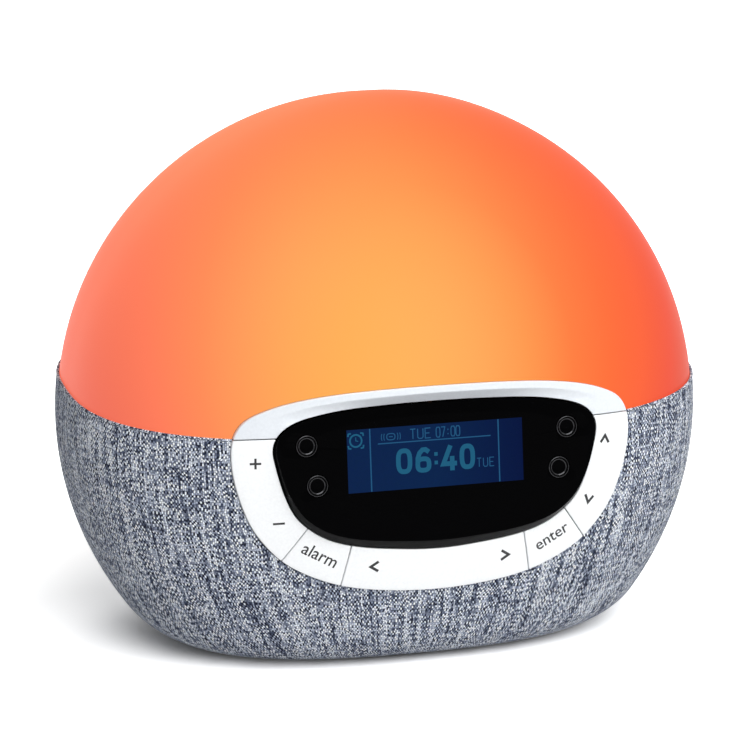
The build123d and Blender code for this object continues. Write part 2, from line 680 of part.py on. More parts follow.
# Hood: a wall over the carrier's top that keeps the lamps' light out of the keys.
with BuildPart() as light_hood:
    add(outline_prism(RING_OUTLINE, -0.1, PLATE_FRONT + FIT, BROW_BACK - FIT))
    add(block(panel, (0, TOP_CUT_V + 0.6 + 20), (160, 40), -20, 12), mode=Mode.INTERSECT)
    add(outline_prism(RING_OUTLINE, -0.9, PLATE_FRONT - 1, 0), mode=Mode.SUBTRACT)
    add(base_form(KEY_WALL - KEY_PROUD + 0.2), mode=Mode.INTERSECT)
finish("light_hood", light_hood.part)

with BuildPart() as rocker_pins:
    for at, turn in rockers.values():
        add(discs(hinge_plane(at, turn), [(0, 0)], PIN_RADIUS, -PIN_LENGTH / 2, PIN_LENGTH / 2))
finish("rocker_pins", rocker_pins.part)

finish("carrier_screws", screws(
    panel.offset(PLATE_FRONT + FIT), carrier_screw_spots, 2.1, 1.3, 1.0, 4.0))
brow_screw_seat = Plane(
    origin=panel.from_local_coords(Vector(0, 0, PLATE_BACK - FIT)),
    x_dir=(-1, 0, 0),
    z_dir=-panel.z_dir,
)
finish("brow_screws", screws(brow_screw_seat, [(-u, v) for u, v in BROW_POSTS], 2.0, 1.3, 0.75, 8.0))

# Round buttons in the window: a dished cap, a collar behind the mask and a stem.
button_profile = [
    (0, STEM_END), (1.8, STEM_END), (1.8, -3.6), (4.4, -3.6), (4.4, -2.6), (BUTTON_RADIUS, -2.6),
    (BUTTON_RADIUS, -0.1), (BUTTON_RADIUS - 0.25, 0.15), (BUTTON_RADIUS - 0.6, 0.15),
    (BUTTON_RADIUS - 0.9, -0.15), (0, -0.25),
]
for name, spot in (
    ("upper_left_button", (-TOP_BUTTON_AT[0], TOP_BUTTON_AT[1])),
    ("lower_left_button", (-LOW_BUTTON_AT[0], LOW_BUTTON_AT[1])),
    ("upper_right_button", TOP_BUTTON_AT),
    ("lower_right_button", LOW_BUTTON_AT),
):
    finish(name, turned(panel, spot, button_profile))

# Display board with one small press switch behind each stem.
switch_spots = both_sides(SIDE_STEMS + [KEY_STEM, FOOT_STEM, TOP_BUTTON_AT, LOW_BUTTON_AT])
finish("display_board", outline_prism(RING_OUTLINE, -3.4, BOARD_FRONT - BOARD, BOARD_FRONT))
with BuildPart() as press_switches:
    with BuildSketch(panel.offset(BOARD_FRONT + 0.02)):
        with Locations(*switch_spots):
            Rectangle(SWITCH_SIDE, SWITCH_SIDE)
    extrude(amount=SWITCH_HEIGHT)
    add(discs(panel, switch_spots, 1.2, BOARD_FRONT + 1, BOARD_FRONT + SWITCH_HEIGHT + SWITCH_NUB))
finish("press_switches", press_switches.part)

# ---------------------------------------------------------------- rear panel

GRILLE_HOLE = 0.85
SEAT_DEPTH = -5.0
grille_spots = [SPEAKER_AT] + [
    (
        SPEAKER_AT[0] + row * GRILLE_PITCH * cos(pi * i / (3 * row)),
        SPEAKER_AT[1] + row * GRILLE_PITCH * sin(pi * i / (3 * row)),
    )
    for row in range(1, 6)
    for i in range(6 * row)
]
speaker_screw_spots = [
    (SPEAKER_AT[0] + 17.4 * cos(radians(a)), SPEAKER_AT[1] + 17.4 * sin(radians(a)))
    for a in (45, 135, 225, 315)
]
PORT_BOARD_TOP = -9.05

with BuildPart() as rear_panel:
    add(rear_prism(0, -REAR_DEPTH, 0))
    chamfer(rear_panel.faces().sort_by(SortBy.AREA)[-2:].edges().group_by(
        lambda edge: round(rear.to_local_coords(edge.center()).Z, 2))[-1], 0.6)
    add(rear_prism(-1.8, -REAR_DEPTH - 1, -REAR_WALL), mode=Mode.SUBTRACT)
    add(discs(rear, rear_screw_spots, 3.4, -REAR_DEPTH, -1))
    add(discs(rear, rear_screw_spots, 2.6, SEAT_DEPTH, 1), mode=Mode.SUBTRACT)
    add(discs(rear, rear_screw_spots, 1.3, -REAR_DEPTH - 1, 0), mode=Mode.SUBTRACT)
    add(discs(rear, grille_spots, GRILLE_HOLE, -3, 1), mode=Mode.SUBTRACT)
    add(discs(rear, speaker_screw_spots, 0.65, -3, -0.8), mode=Mode.SUBTRACT)
    add(discs(rear, [JACK_AT], 4.4, -3, 1), mode=Mode.SUBTRACT)
    add(block(rear, USB_AT, (14.6, 7.2), -3, 1), mode=Mode.SUBTRACT)
    for u in (8.5, 24.0):
        add(block(rear, (u, PORT_BOARD_TOP - BOARD - FIT - 1), (3, 2), -14, -1))
finish("rear_panel", rear_panel.part)

finish("rear_screws", screws(rear.offset(SEAT_DEPTH + FIT), rear_screw_spots, 2.3, 1.5, 1.0, 4.7))

with BuildPart() as speaker_gasket:
    add(discs(rear, [SPEAKER_AT], SPEAKER_RADIUS, -3.05, -REAR_WALL - FIT))
    add(discs(rear, [SPEAKER_AT], 16.4, -4, 0), mode=Mode.SUBTRACT)
    add(discs(rear, speaker_screw_spots, 0.75, -4, 0), mode=Mode.SUBTRACT)
finish("speaker_gasket", speaker_gasket.part)

with BuildPart() as speaker_frame:
    add(turned(rear, SPEAKER_AT, [
        (SPEAKER_RADIUS, -3.1), (SPEAKER_RADIUS, -4.3), (16.2, -4.3), (13.2, -12.95), (5, -12.95),
        (5, -11.9), (12.2, -11.9), (15.2, -3.1),
    ]))
    add(discs(rear, speaker_screw_spots, 0.75, -6, 0), mode=Mode.SUBTRACT)
finish("speaker_frame", speaker_frame.part)
finish("speaker_magnet", turned(rear, SPEAKER_AT, [
    (0, -22), (12.2, -22), (13, -21.2), (13, -13), (4.6, -13), (4.6, -9.5), (0, -9.5),
]))
finish("speaker_cone", turned(rear, SPEAKER_AT, [
    (14.6, -3.4), (13.6, -3.1), (12.8, -3.7), (5.5, -8.2), (2.6, -6.2), (0, -5.6),
    (0, -6.4), (2.6, -7.1), (5.2, -9.2), (5.6, -9.2), (12.8, -4.5), (13.6, -3.9),
]))
back_of_speaker = Plane(
    origin=rear.from_local_coords(Vector(0, 0, -4.35)), x_dir=(1, 0, 0), z_dir=-rear.z_dir
)
finish("speaker_screws", screws(
    back_of_speaker, [(-u, v) for u, v in speaker_screw_spots], 1.1, 0.8, 0.6, 3.3))

with BuildPart() as dc_jack:
    add(block(rear, (JACK_AT[0], -3.5), (9, 11), -16, -REAR_WALL - 2 * FIT))
    add(discs(rear, [JACK_AT], 4.2, -3, -0.6))
    add(discs(rear, [JACK_AT], 3.15, -10.1, 0), mode=Mode.SUBTRACT)
    add(discs(rear, [JACK_AT], 1.0, -10.5, -1.6))
finish("dc_jack", dc_jack.part)

with BuildPart() as usb_port:
    add(block(rear, (USB_AT[0], -5.25), (14.4, 7.5), -15, -REAR_WALL - 2 * FIT))
    add(block(rear, USB_AT, (14.0, 6.6), -3, -0.6))
    add(block(rear, USB_AT, (12.6, 5.2), -12.6, 0), mode=Mode.SUBTRACT)
    add(block(rear, (USB_AT[0], USB_AT[1] + 1), (10.5, 1.8), -12.8, -1.8))
finish("usb_port", usb_port.part)
finish("port_board", block(
    rear, (20, PORT_BOARD_TOP - BOARD / 2), (30, BOARD), -30, -4))

# ---------------------------------------------------------------- main board

board_top = Plane.XY.offset(MAIN_BOARD_Z + BOARD + 0.02)
with BuildPart() as main_board:
    add(block(Plane.XY, (0, 0), MAIN_BOARD, MAIN_BOARD_Z + 0.02, MAIN_BOARD_Z + BOARD))
    add(discs(Plane.XY, four_corners(POST_AT), 1.2, 0, 20), mode=Mode.SUBTRACT)
finish("main_board", main_board.part)
finish("board_screws", screws(board_top, four_corners(POST_AT), 2.3, 1.4, 0.9, 6.0))

finish("processor_chip", block(board_top, (12, -6), (12, 12), 0, 1.4))
with BuildPart() as driver_chips:
    with BuildSketch(board_top):
        with Locations((-18, 2)):
            with GridLocations(9, 0, 3, 1):
                Rectangle(5, 6)
        with Locations((27, -4)):
            Rectangle(8, 5)
    extrude(amount=1.5)
finish("driver_chips", driver_chips.part)
with BuildPart() as power_coils:
    add(discs(board_top, [(-30, 12), (-18, 14)], 4.6, 0, 0.8))
    add(discs(board_top, [(-30, 12), (-18, 14)], 3.6, 0.8, 3.4))
    add(discs(board_top, [(-30, 12), (-18, 14)], 4.6, 3.4, 4.2))
finish("power_coils", power_coils.part)
with BuildPart() as capacitors:
    add(discs(board_top, [(-5, 15), (5, 15), (-5, -8)], 3.2, 0, 9))
    fillet(capacitors.faces().filter_by(Axis.Z).group_by(Axis.Z)[-1].edges(), 0.5)
finish("capacitors", capacitors.part)
with BuildPart() as backup_cell:
    add(discs(board_top, [(24, 10)], 8.0, 0.6, 2.8))
finish("backup_cell", backup_cell.part)
with BuildPart() as cell_holder:
    add(discs(board_top, [(24, 10)], 9.0, 0, 2.4))
    add(discs(board_top, [(24, 10)], 8.06, 0.55, 4), mode=Mode.SUBTRACT)
finish("cell_holder", cell_holder.part)

RIBBON_PLUG = (0.0, -17.0)
LED_PLUG = (-24.0, -13.0)
SPEAKER_PLUG = (-37.0, 0.0)
PORT_PLUG = (0.0, 5.0)
with BuildPart() as board_connectors:
    add(block(board_top, RIBBON_PLUG, (16, 5), 0, 3.0))
    add(block(board_top, LED_PLUG, (12, 5), 0, 5.0))
    add(block(board_top, SPEAKER_PLUG, (5, 7), 0, 5.0))
    add(block(board_top, PORT_PLUG, (10, 5), 0, 5.0))
finish("board_connectors", board_connectors.part)

# Leads: a flat ribbon to the display board and round ones to the lamps and the speaker.
ribbon_top = panel.from_local_coords(Vector(0, -24, BOARD_FRONT - BOARD - 0.5))
ribbon_foot = board_top.origin.Z + 3.3
with BuildPart() as display_ribbon:
    with BuildSketch(Plane.YZ):
        with BuildLine():
            FilletPolyline(
                (ribbon_top.Y, ribbon_top.Z), (-40, 46), (-36, 22), (RIBBON_PLUG[1] - 9, ribbon_foot),
                (RIBBON_PLUG[1] + 2, ribbon_foot), radius=4,
            )
        trace(line_width=0.4)
    extrude(amount=7, both=True)
finish("display_ribbon", display_ribbon.part)


def lead(points, radius):
    """A round cable through a row of points."""
    with BuildPart() as cable:
        with BuildLine() as path:
            FilletPolyline(*points, radius=5)
        with BuildSketch(Plane(origin=path.line @ 0, z_dir=path.line % 0)):
            Circle(radius)
        sweep()
    return cable.part


slot = seam.from_local_coords(Vector(CABLE_SLOT[0], CABLE_SLOT[1], 0))
board_edge = seam.from_local_coords(Vector(-47, 9, LED_LEVEL + BOARD + 1.4))
plug_top = board_top.origin.Z + 5.1
finish("led_cable", lead([
    (*LED_PLUG, plug_top), (LED_PLUG[0], LED_PLUG[1], 30), (slot.X, slot.Y, 50),
    (slot.X, slot.Y, board_edge.Z), (board_edge.X, board_edge.Y, board_edge.Z),
], 1.2))
speaker_back = rear.from_local_coords(Vector(SPEAKER_AT[0], 15.4, -13.5))
finish("speaker_leads", lead([
    (*SPEAKER_PLUG, plug_top), (SPEAKER_PLUG[0], SPEAKER_PLUG[1], 34), (6, 30, 66),
    (speaker_back.X, speaker_back.Y, speaker_back.Z),
], 0.9))
port_back = rear.from_local_coords(Vector(22, PORT_BOARD_TOP - BOARD - 1.3, -26))
finish("port_leads", lead([
    (*PORT_PLUG, plug_top), (PORT_PLUG[0], PORT_PLUG[1], 26), (-22, 30, 36),
    (port_back.X, port_back.Y, port_back.Z),
], 1.1))


for name, part in pieces.items():
    export_step(part, f"parts/{name}.step")
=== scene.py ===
import math

import bpy
import numpy as np
from mathutils import Matrix, Vector


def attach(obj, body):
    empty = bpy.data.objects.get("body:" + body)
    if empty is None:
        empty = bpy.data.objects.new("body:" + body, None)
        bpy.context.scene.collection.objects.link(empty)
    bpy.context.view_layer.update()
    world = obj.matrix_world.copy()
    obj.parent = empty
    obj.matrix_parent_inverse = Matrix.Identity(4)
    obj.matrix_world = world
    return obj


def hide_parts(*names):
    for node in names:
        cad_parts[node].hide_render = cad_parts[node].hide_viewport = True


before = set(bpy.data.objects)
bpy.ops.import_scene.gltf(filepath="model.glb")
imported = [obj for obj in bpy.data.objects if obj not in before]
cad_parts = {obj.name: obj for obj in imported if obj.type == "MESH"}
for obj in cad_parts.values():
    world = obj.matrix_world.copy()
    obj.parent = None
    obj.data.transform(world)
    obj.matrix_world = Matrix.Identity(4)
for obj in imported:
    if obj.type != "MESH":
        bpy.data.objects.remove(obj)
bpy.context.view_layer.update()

# ---------------------------------------------------------------- base housing
# The dark moulded shell under the cloth, with its foot plate. Injection-moulded ABS with a
# fine matt grain. The plate is held by screws from below.

MM = 0.001


def fill(tree, node, **inputs):
    """Set a node's inputs by name: sockets are linked, values are written."""
    for name, value in inputs.items():
        socket = node.inputs[name.replace("_", " ")]
        if isinstance(value, bpy.types.NodeSocket):
            tree.links.new(value, socket)
        else:
            socket.default_value = value


def add(tree, kind, output, setting=(), **inputs):
    """Add a node with one (name, value) setting and its inputs, and give its output."""
    node = tree.nodes.new("ShaderNode" + kind)
    if setting:
        setattr(node, *setting)
    fill(tree, node, **inputs)
    return node.outputs[output]


def blend(tree, share, first, second, kind="MIX"):
    """Mix two colours; share may be a socket or a number."""
    node = tree.nodes.new("ShaderNodeMix")
    node.data_type, node.blend_type = "RGBA", kind
    fill(tree, node, Factor=share, A=first, B=second)
    return node.outputs["Result"]


def new_finish(name, **inputs):
    """A new material: itself, its node tree and its shader."""
    material = bpy.data.materials.new(name)
    material.use_nodes = True
    tree = material.node_tree
    shader = tree.nodes["Principled BSDF"]
    fill(tree, shader, **inputs)
    return material, tree, shader


def moulded(name, colour, roughness, grain, bump):
    """Moulded plastic: an even colour with a fine grain, grain in millimetres."""
    material, tree, shader = new_finish(name, IOR=1.49)
    where = add(tree, "TexCoord", "Object")
    fine = add(tree, "TexNoise", "Fac", Vector=where, Scale=1 / (grain * MM), Detail=3)
    relief = add(tree, "Bump", "Normal", Height=fine, Strength=bump, Distance=0.0001)
    fill(tree, shader, Normal=relief,
         Base_Color=blend(tree, fine, (*[c * 0.93 for c in colour], 1),
                          (*[min(1, c * 1.06) for c in colour], 1)),
         Roughness=add(tree, "MapRange", "Result", Value=fine, To_Min=roughness * 0.9,
                       To_Max=roughness * 1.1))
    return material


def wear(material, *names):
    """Give CAD nodes their finish."""
    for name in names:
        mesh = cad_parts[name].data
        mesh.materials.clear()
        mesh.materials.append(material)


housing_black = moulded("housing black", (0.014, 0.014, 0.015), 0.5, 0.5, 0.25)
wear(housing_black, "base_shell", "base_plate", "rear_panel")

# Rubber feet pressed into the foot plate, and the cross-head screws that hold the whole
# clock together. Soft matt rubber, and zinc-plated steel.


def metal(name, colour, roughness, grain):
    """Bare or plated metal with fine drawn marks, grain in millimetres."""
    material, tree, shader = new_finish(name, Metallic=1)
    where = add(tree, "TexCoord", "Object")
    marks = add(tree, "TexNoise", "Fac", Vector=where, Scale=1 / (grain * MM), Detail=4)
    fill(tree, shader,
         Base_Color=blend(tree, marks, (*[c * 0.86 for c in colour], 1), (*colour, 1)),
         Roughness=add(tree, "MapRange", "Result", Value=marks, To_Min=roughness * 0.75,
                       To_Max=roughness * 1.25))
    return material


foot_rubber = moulded("foot rubber", (0.02, 0.02, 0.02), 0.85, 0.35, 0.5)
wear(foot_rubber, "rubber_feet", "speaker_gasket")
plated_steel = metal("plated steel", (0.66, 0.66, 0.67), 0.32, 0.6)
wear(plated_steel, "base_screws", "board_screws", "rear_screws", "dome_screws", "tray_screws",
     "led_board_screws", "carrier_screws", "brow_screws", "speaker_screws", "rocker_pins")

# ---------------------------------------------------------------- cloth cover
# A sleeve of grey melange cloth, glued over the shell. Its upper edge is rolled under the
# dome, its lower edge is tucked beneath the foot, and it is cut out for both panels.

HALF_WIDTH, HALF_DEPTH, HALF_HEIGHT = 105.0, 72.0, 104.8
WAIST_Z = 73.5
PLAN_POWER = 2.6
FOOT_DEPTH_RATIO = 0.758
SKIRT_Z, SKIRT_RADIUS = 1.0, 11.4
SEAM_Z, SEAM_TILT = 86.0, math.radians(4.6)
PLATE_HALF = (61.5, 42.0)
GAP = 0.35


def form_halves(z, inset):
    """The body's half width and half depth at each height, drawn in by inset."""
    foot_share = math.sqrt(1 - (WAIST_Z / HALF_HEIGHT) ** 2)
    share = np.sqrt(np.maximum(0, 1 - ((z - WAIST_Z) / (HALF_HEIGHT - inset)) ** 2))
    fall = (share - foot_share) / (1 - foot_share)
    depth_share = np.where(z < WAIST_Z, FOOT_DEPTH_RATIO + (1 - FOOT_DEPTH_RATIO) * fall, share)
    radius = SKIRT_RADIUS - inset
    low = np.clip(SKIRT_Z + SKIRT_RADIUS - z, 0, radius)
    tuck = radius - np.sqrt(radius ** 2 - low ** 2)
    return (HALF_WIDTH - inset) * share - tuck, (HALF_DEPTH - inset) * depth_share - tuck


def plan_reach(turn):
    """How far the rounded plan reaches at each angle, for a half width and depth of one."""
    return (abs(np.cos(turn)) ** PLAN_POWER + abs(np.sin(turn)) ** PLAN_POWER) ** (-1 / PLAN_POWER)


def form_points(turn, z, inset):
    """Points on the body at each angle and height."""
    a, b = form_halves(z, inset)
    reach = plan_reach(turn)
    return np.stack([a * reach * np.cos(turn), b * reach * np.sin(turn), z], axis=-1)


def deselect():
    if bpy.context.object and bpy.context.object.mode != "OBJECT":
        bpy.ops.object.mode_set(mode="OBJECT")
    bpy.ops.object.select_all(action="DESELECT")


def pick(piece):
    """Make this the one selected and active piece."""
    deselect()
    piece.select_set(True)
    bpy.context.view_layer.objects.active = piece


def edit(piece, *steps):
    """Take a piece into edit mode with all of it selected, and do each step."""
    pick(piece)
    bpy.ops.object.mode_set(mode="EDIT")
    for step in steps:
        bpy.ops.mesh.select_all(action="SELECT")
        step()
    bpy.ops.object.mode_set(mode="OBJECT")


def face_out():
    bpy.ops.mesh.normals_make_consistent(inside=False)


def drape(name, columns, rows, place, weld=0.00001):
    """A grid whose points go to place(across, up), both from 0 to 1, in millimetres."""
    deselect()
    bpy.ops.mesh.primitive_grid_add(x_subdivisions=columns, y_subdivisions=rows, size=2)
    piece = bpy.context.object
    piece.name = name
    mesh = piece.data
    co = np.empty(len(mesh.vertices) * 3)
    mesh.vertices.foreach_get("co", co)
    flat = (co.reshape(-1, 3) + 1) / 2
    spots = np.asarray(place(flat[:, 0], flat[:, 1]), float) * MM
    mesh.vertices.foreach_set("co", spots.ravel())
    mesh.update()
    edit(piece, lambda: bpy.ops.mesh.remove_doubles(threshold=weld))
    middle = Vector((0, 0, 70 * MM))
    if sum(face.area * face.normal.dot(face.center - middle) for face in mesh.polygons) < 0:
        edit(piece, bpy.ops.mesh.flip_normals)
    return piece


def work(piece, kind, **settings):
    """Put a modifier on a piece and apply it."""
    pick(piece)
    modifier = piece.modifiers.new(kind.lower(), kind)
    for key, value in settings.items():
        setattr(modifier, key, value)
    bpy.ops.object.modifier_apply(modifier=modifier.name)


def thicken(piece, wall):
    work(piece, "SOLIDIFY", thickness=wall * MM, offset=-1, use_even_offset=True)


def round_edges(piece, width, segments=3, angle=35):
    work(piece, "BEVEL", width=width * MM, segments=segments, limit_method="ANGLE",
         angle_limit=math.radians(angle), harden_normals=False)


def smooth(piece, angle=35):
    pick(piece)
    bpy.ops.object.shade_smooth_by_angle(angle=math.radians(angle))


def cut(piece, *cutters):
    """Take cutters out of a piece, and throw them away."""
    for cutter in cutters:
        work(piece, "BOOLEAN", operation="DIFFERENCE", solver="EXACT", object=cutter)
        bpy.data.objects.remove(cutter)


def dress(piece, body, material, *nodes, slot=None):
    """Give a piece its finish, the body that it rides on and the nodes that it stands for."""
    piece.data.materials.clear()
    piece.data.materials.append(material)
    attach(piece, body)
    if nodes:
        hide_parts(*nodes)


# The front panel's own axes: u to the right, v up its face, w out of it.
PANEL_Y, PANEL_Z, PANEL_TILT = -70.2, 73.2, math.radians(5.9)


def on_panel(u, v, w):
    """Points given along the front panel's own axes."""
    rise, lean = math.cos(PANEL_TILT), math.sin(PANEL_TILT)
    u, v, w = np.broadcast_arrays(np.asarray(u, float), v, w)
    return np.stack([u, PANEL_Y + v * lean - w * rise, PANEL_Z + v * rise + w * lean], axis=-1)


RING_OUTLINE = [
    (0, 21.8), (24, 21.4), (43, 19.7), (57, 16.0), (61.7, 13.2), (64.5, 8.7), (65.3, 3.3),
    (64.4, -5.2), (62.3, -12.7), (58.8, -20.7), (54.5, -26.7), (49.5, -31.7), (42, -36.4),
    (31, -40.7), (16, -43.4), (0, -44.3),
]


def smooth_outline(half, grow=0.0):
    """A closed curve through a half outline and its mirror image: points, slopes and steps."""
    loop = np.array(half + [(-u, v) for u, v in reversed(half[1:-1])], float)
    if grow:
        run_in, run_out = loop - np.roll(loop, 1, 0), np.roll(loop, -1, 0) - loop
        size_in, size_out = (np.linalg.norm(r, axis=1)[:, None] for r in (run_in, run_out))
        along = run_in / size_in * size_out + run_out / size_out * size_in
        out = np.stack([-along[:, 1], along[:, 0]], axis=1)
        loop = loop + out / np.linalg.norm(out, axis=1)[:, None] * grow
    count = len(loop)
    step = np.linalg.norm(np.roll(loop, -1, 0) - loop, axis=1)
    pull = np.zeros((count, count))
    want = np.zeros((count, 2))
    for k in range(count):
        before, after = step[k - 1], step[k]
        pull[k, k - 1] += after
        pull[k, k] += 2 * (before + after)
        pull[k, (k + 1) % count] += before
        want[k] = 3 * (before * (loop[(k + 1) % count] - loop[k]) / after
                       + after * (loop[k] - loop[k - 1]) / before)
    return loop, np.linalg.solve(pull, want), step


def round_outline(curve, way):
    """Points on a closed curve; way counts its given points from the top middle clockwise."""
    loop, slope, step = curve
    count = len(loop)
    way = np.asarray(way, float) % count
    k = np.minimum(way.astype(int), count - 1)
    f = (way - k)[..., None]
    size = step[k][..., None]
    here, there = loop[k], loop[(k + 1) % count]
    return ((1 + 2 * f) * (1 - f) ** 2 * here + f ** 2 * (3 - 2 * f) * there
            + size * f * (1 - f) ** 2 * slope[k] - size * f ** 2 * (1 - f) * slope[(k + 1) % count])


def panel_cutter(curve, low, high, count=180):
    """A closed prism on the front panel for cutting openings."""
    def wall(across, up):
        spot = round_outline(curve, across * len(curve[0]))
        return on_panel(spot[:, 0], spot[:, 1], low + (high - low) * up)

    def close_ends():
        bpy.ops.mesh.select_mode(type="EDGE")
        bpy.ops.mesh.select_all(action="DESELECT")
        bpy.ops.mesh.select_non_manifold()
        bpy.ops.mesh.edge_face_add()

    cutter = drape("cutter", count, 1, wall)
    edit(cutter, close_ends, face_out)
    return cutter


def seam_height(turn, inset):
    """The height at which the slanting seam crosses the body at each angle."""
    z = np.full_like(turn, SEAM_Z)
    for _ in range(12):
        z = SEAM_Z + form_points(turn, z, inset)[..., 1] * math.tan(SEAM_TILT)
    return z


CLOTH_WALL = 1.1
DOME_INSET = 0.8
HEM_RADIUS = 0.5
SLEEVE_COLUMNS, SLEEVE_ROWS = 420, 62
TUCK_ROWS, SKIRT_ROWS = 2, 12
SIDE_RUN = 100.0


def cloth_sleeve(across, up):
    turn = across * 2 * math.pi
    top = seam_height(turn, 0) - 0.6
    skirt = SKIRT_Z + SKIRT_RADIUS
    row = up * SLEEVE_ROWS
    # Under the foot, round the skirt and up the belly.
    curl = np.clip((row - TUCK_ROWS) / SKIRT_ROWS, 0, 1)
    z = SKIRT_Z + SKIRT_RADIUS * (1 - np.cos(curl * math.pi / 2))
    belly_from = TUCK_ROWS + SKIRT_ROWS
    climb = (row - belly_from) / (SLEEVE_ROWS - belly_from)
    z = np.where(row > belly_from, skirt + (top - skirt) * climb, z)
    spots = form_points(turn, z, 0)
    reach = plan_reach(turn)
    under = np.stack([(PLATE_HALF[0] + GAP) * reach * np.cos(turn),
                      (PLATE_HALF[1] + GAP) * reach * np.sin(turn),
                      np.full_like(z, SKIRT_Z)], axis=-1)
    tucked = np.clip((TUCK_ROWS - row) / TUCK_ROWS, 0, 1)[:, None]
    return spots + (under - spots) * tucked


def rolled_hem(across, up):
    turn, swing = across * 2 * math.pi, up * 2 * math.pi
    z = seam_height(turn, 0) - HEM_RADIUS
    heart = form_points(turn, z, DOME_INSET - HEM_RADIUS)
    out = form_points(turn, z, 0) - form_points(turn, z, 1)
    out[:, 2] = 0
    spots = heart + out * (HEM_RADIUS * np.cos(swing))[:, None]
    spots[:, 2] += HEM_RADIUS * np.sin(swing)
    return spots


fabric = drape("fabric_sleeve", SLEEVE_COLUMNS, SLEEVE_ROWS, cloth_sleeve)
hem = drape("rolled_hem", SLEEVE_COLUMNS, 10, rolled_hem)

# The weave runs with the sleeve: its threads are counted along the girth and up the side.
girth = np.linspace(0, 2 * math.pi, 721)
waist_line = form_points(girth, np.full_like(girth, WAIST_Z), 0)
girth_run = np.concatenate([[0], np.cumsum(np.linalg.norm(np.diff(waist_line, axis=0), axis=1))])
for piece, side_run in ((fabric, SIDE_RUN), (hem, 2 * math.pi * HEM_RADIUS)):
    weave_map = piece.data.uv_layers.active
    weave_map.name = "weave"
    threads = np.empty(len(weave_map.data) * 2)
    weave_map.data.foreach_get("uv", threads)
    threads = threads.reshape(-1, 2)
    threads[:, 0] = np.interp(threads[:, 0] * 2 * math.pi, girth, girth_run)
    threads[:, 1] *= side_run
    weave_map.data.foreach_set("uv", threads.ravel())

ring_curve = smooth_outline(RING_OUTLINE)
CLOTH_GAP = 0.14
HOLE_INNER = -26
thicken(fabric, CLOTH_WALL)
for piece in (fabric, hem):
    cut(piece, panel_cutter(smooth_outline(RING_OUTLINE, CLOTH_GAP), HOLE_INNER, 20))
    smooth(piece, 50)

REAR_Y, REAR_Z, REAR_TILT = 69.0, 42.0, math.radians(10.7)
REAR_WIDTH, REAR_HEIGHT, REAR_CORNER = 92.0, 44.0, 14.0


def rear_cutter(grow, low, high):
    """A rounded box on the rear panel for cutting its opening."""
    deselect()
    bpy.ops.mesh.primitive_cube_add(size=1)
    cutter = bpy.context.object
    cutter.data.transform(Matrix.Diagonal((
        (REAR_WIDTH + 2 * grow) * MM, (REAR_HEIGHT + 2 * grow) * MM, (high - low) * MM, 1)))
    bpy.ops.object.mode_set(mode="EDIT")
    bpy.ops.mesh.select_mode(type="EDGE")
    bpy.ops.mesh.select_all(action="DESELECT")
    bpy.ops.object.mode_set(mode="OBJECT")
    spots = cutter.data.vertices
    for edge in cutter.data.edges:
        edge.select = spots[edge.vertices[0]].co.z * spots[edge.vertices[1]].co.z < 0
    bpy.ops.object.mode_set(mode="EDIT")
    bpy.ops.mesh.bevel(offset=(REAR_CORNER + grow) * MM, segments=10, affect="EDGES")
    bpy.ops.object.mode_set(mode="OBJECT")
    out = Vector((0, math.cos(REAR_TILT), -math.sin(REAR_TILT)))
    up = Vector((0, math.sin(REAR_TILT), math.cos(REAR_TILT)))
    turn = Matrix((Vector((-1, 0, 0)), up, out)).transposed().to_4x4()
    place = Matrix.Translation(Vector((0, REAR_Y, REAR_Z)) * MM + out * (low + high) / 2 * MM)
    cutter.data.transform(place @ turn)
    return cutter


cut(fabric, rear_cutter(GAP, -14, 10))
smooth(fabric, 50)

WARP_PITCH, WEFT_PITCH, YARN_SWAY = 0.60, 0.92, 2.4
YARN_SHADES = [(0.11, (0.010, 0.013, 0.030, 1)), (0.27, (0.052, 0.066, 0.115, 1)),
               (0.46, (0.262, 0.297, 0.39, 1)), (0.63, (0.605, 0.65, 0.75, 1)),
               (0.78, (0.95, 0.975, 1.0, 1))]


def reckon(tree, operation, *terms, kind="Math", output=0):
    """Work out one sum, on sockets or plain values."""
    node = tree.nodes.new("ShaderNode" + kind)
    node.operation = operation
    for socket, value in zip(node.inputs, terms):
        if isinstance(value, bpy.types.NodeSocket):
            tree.links.new(value, socket)
        else:
            socket.default_value = value
    return node.outputs[output]


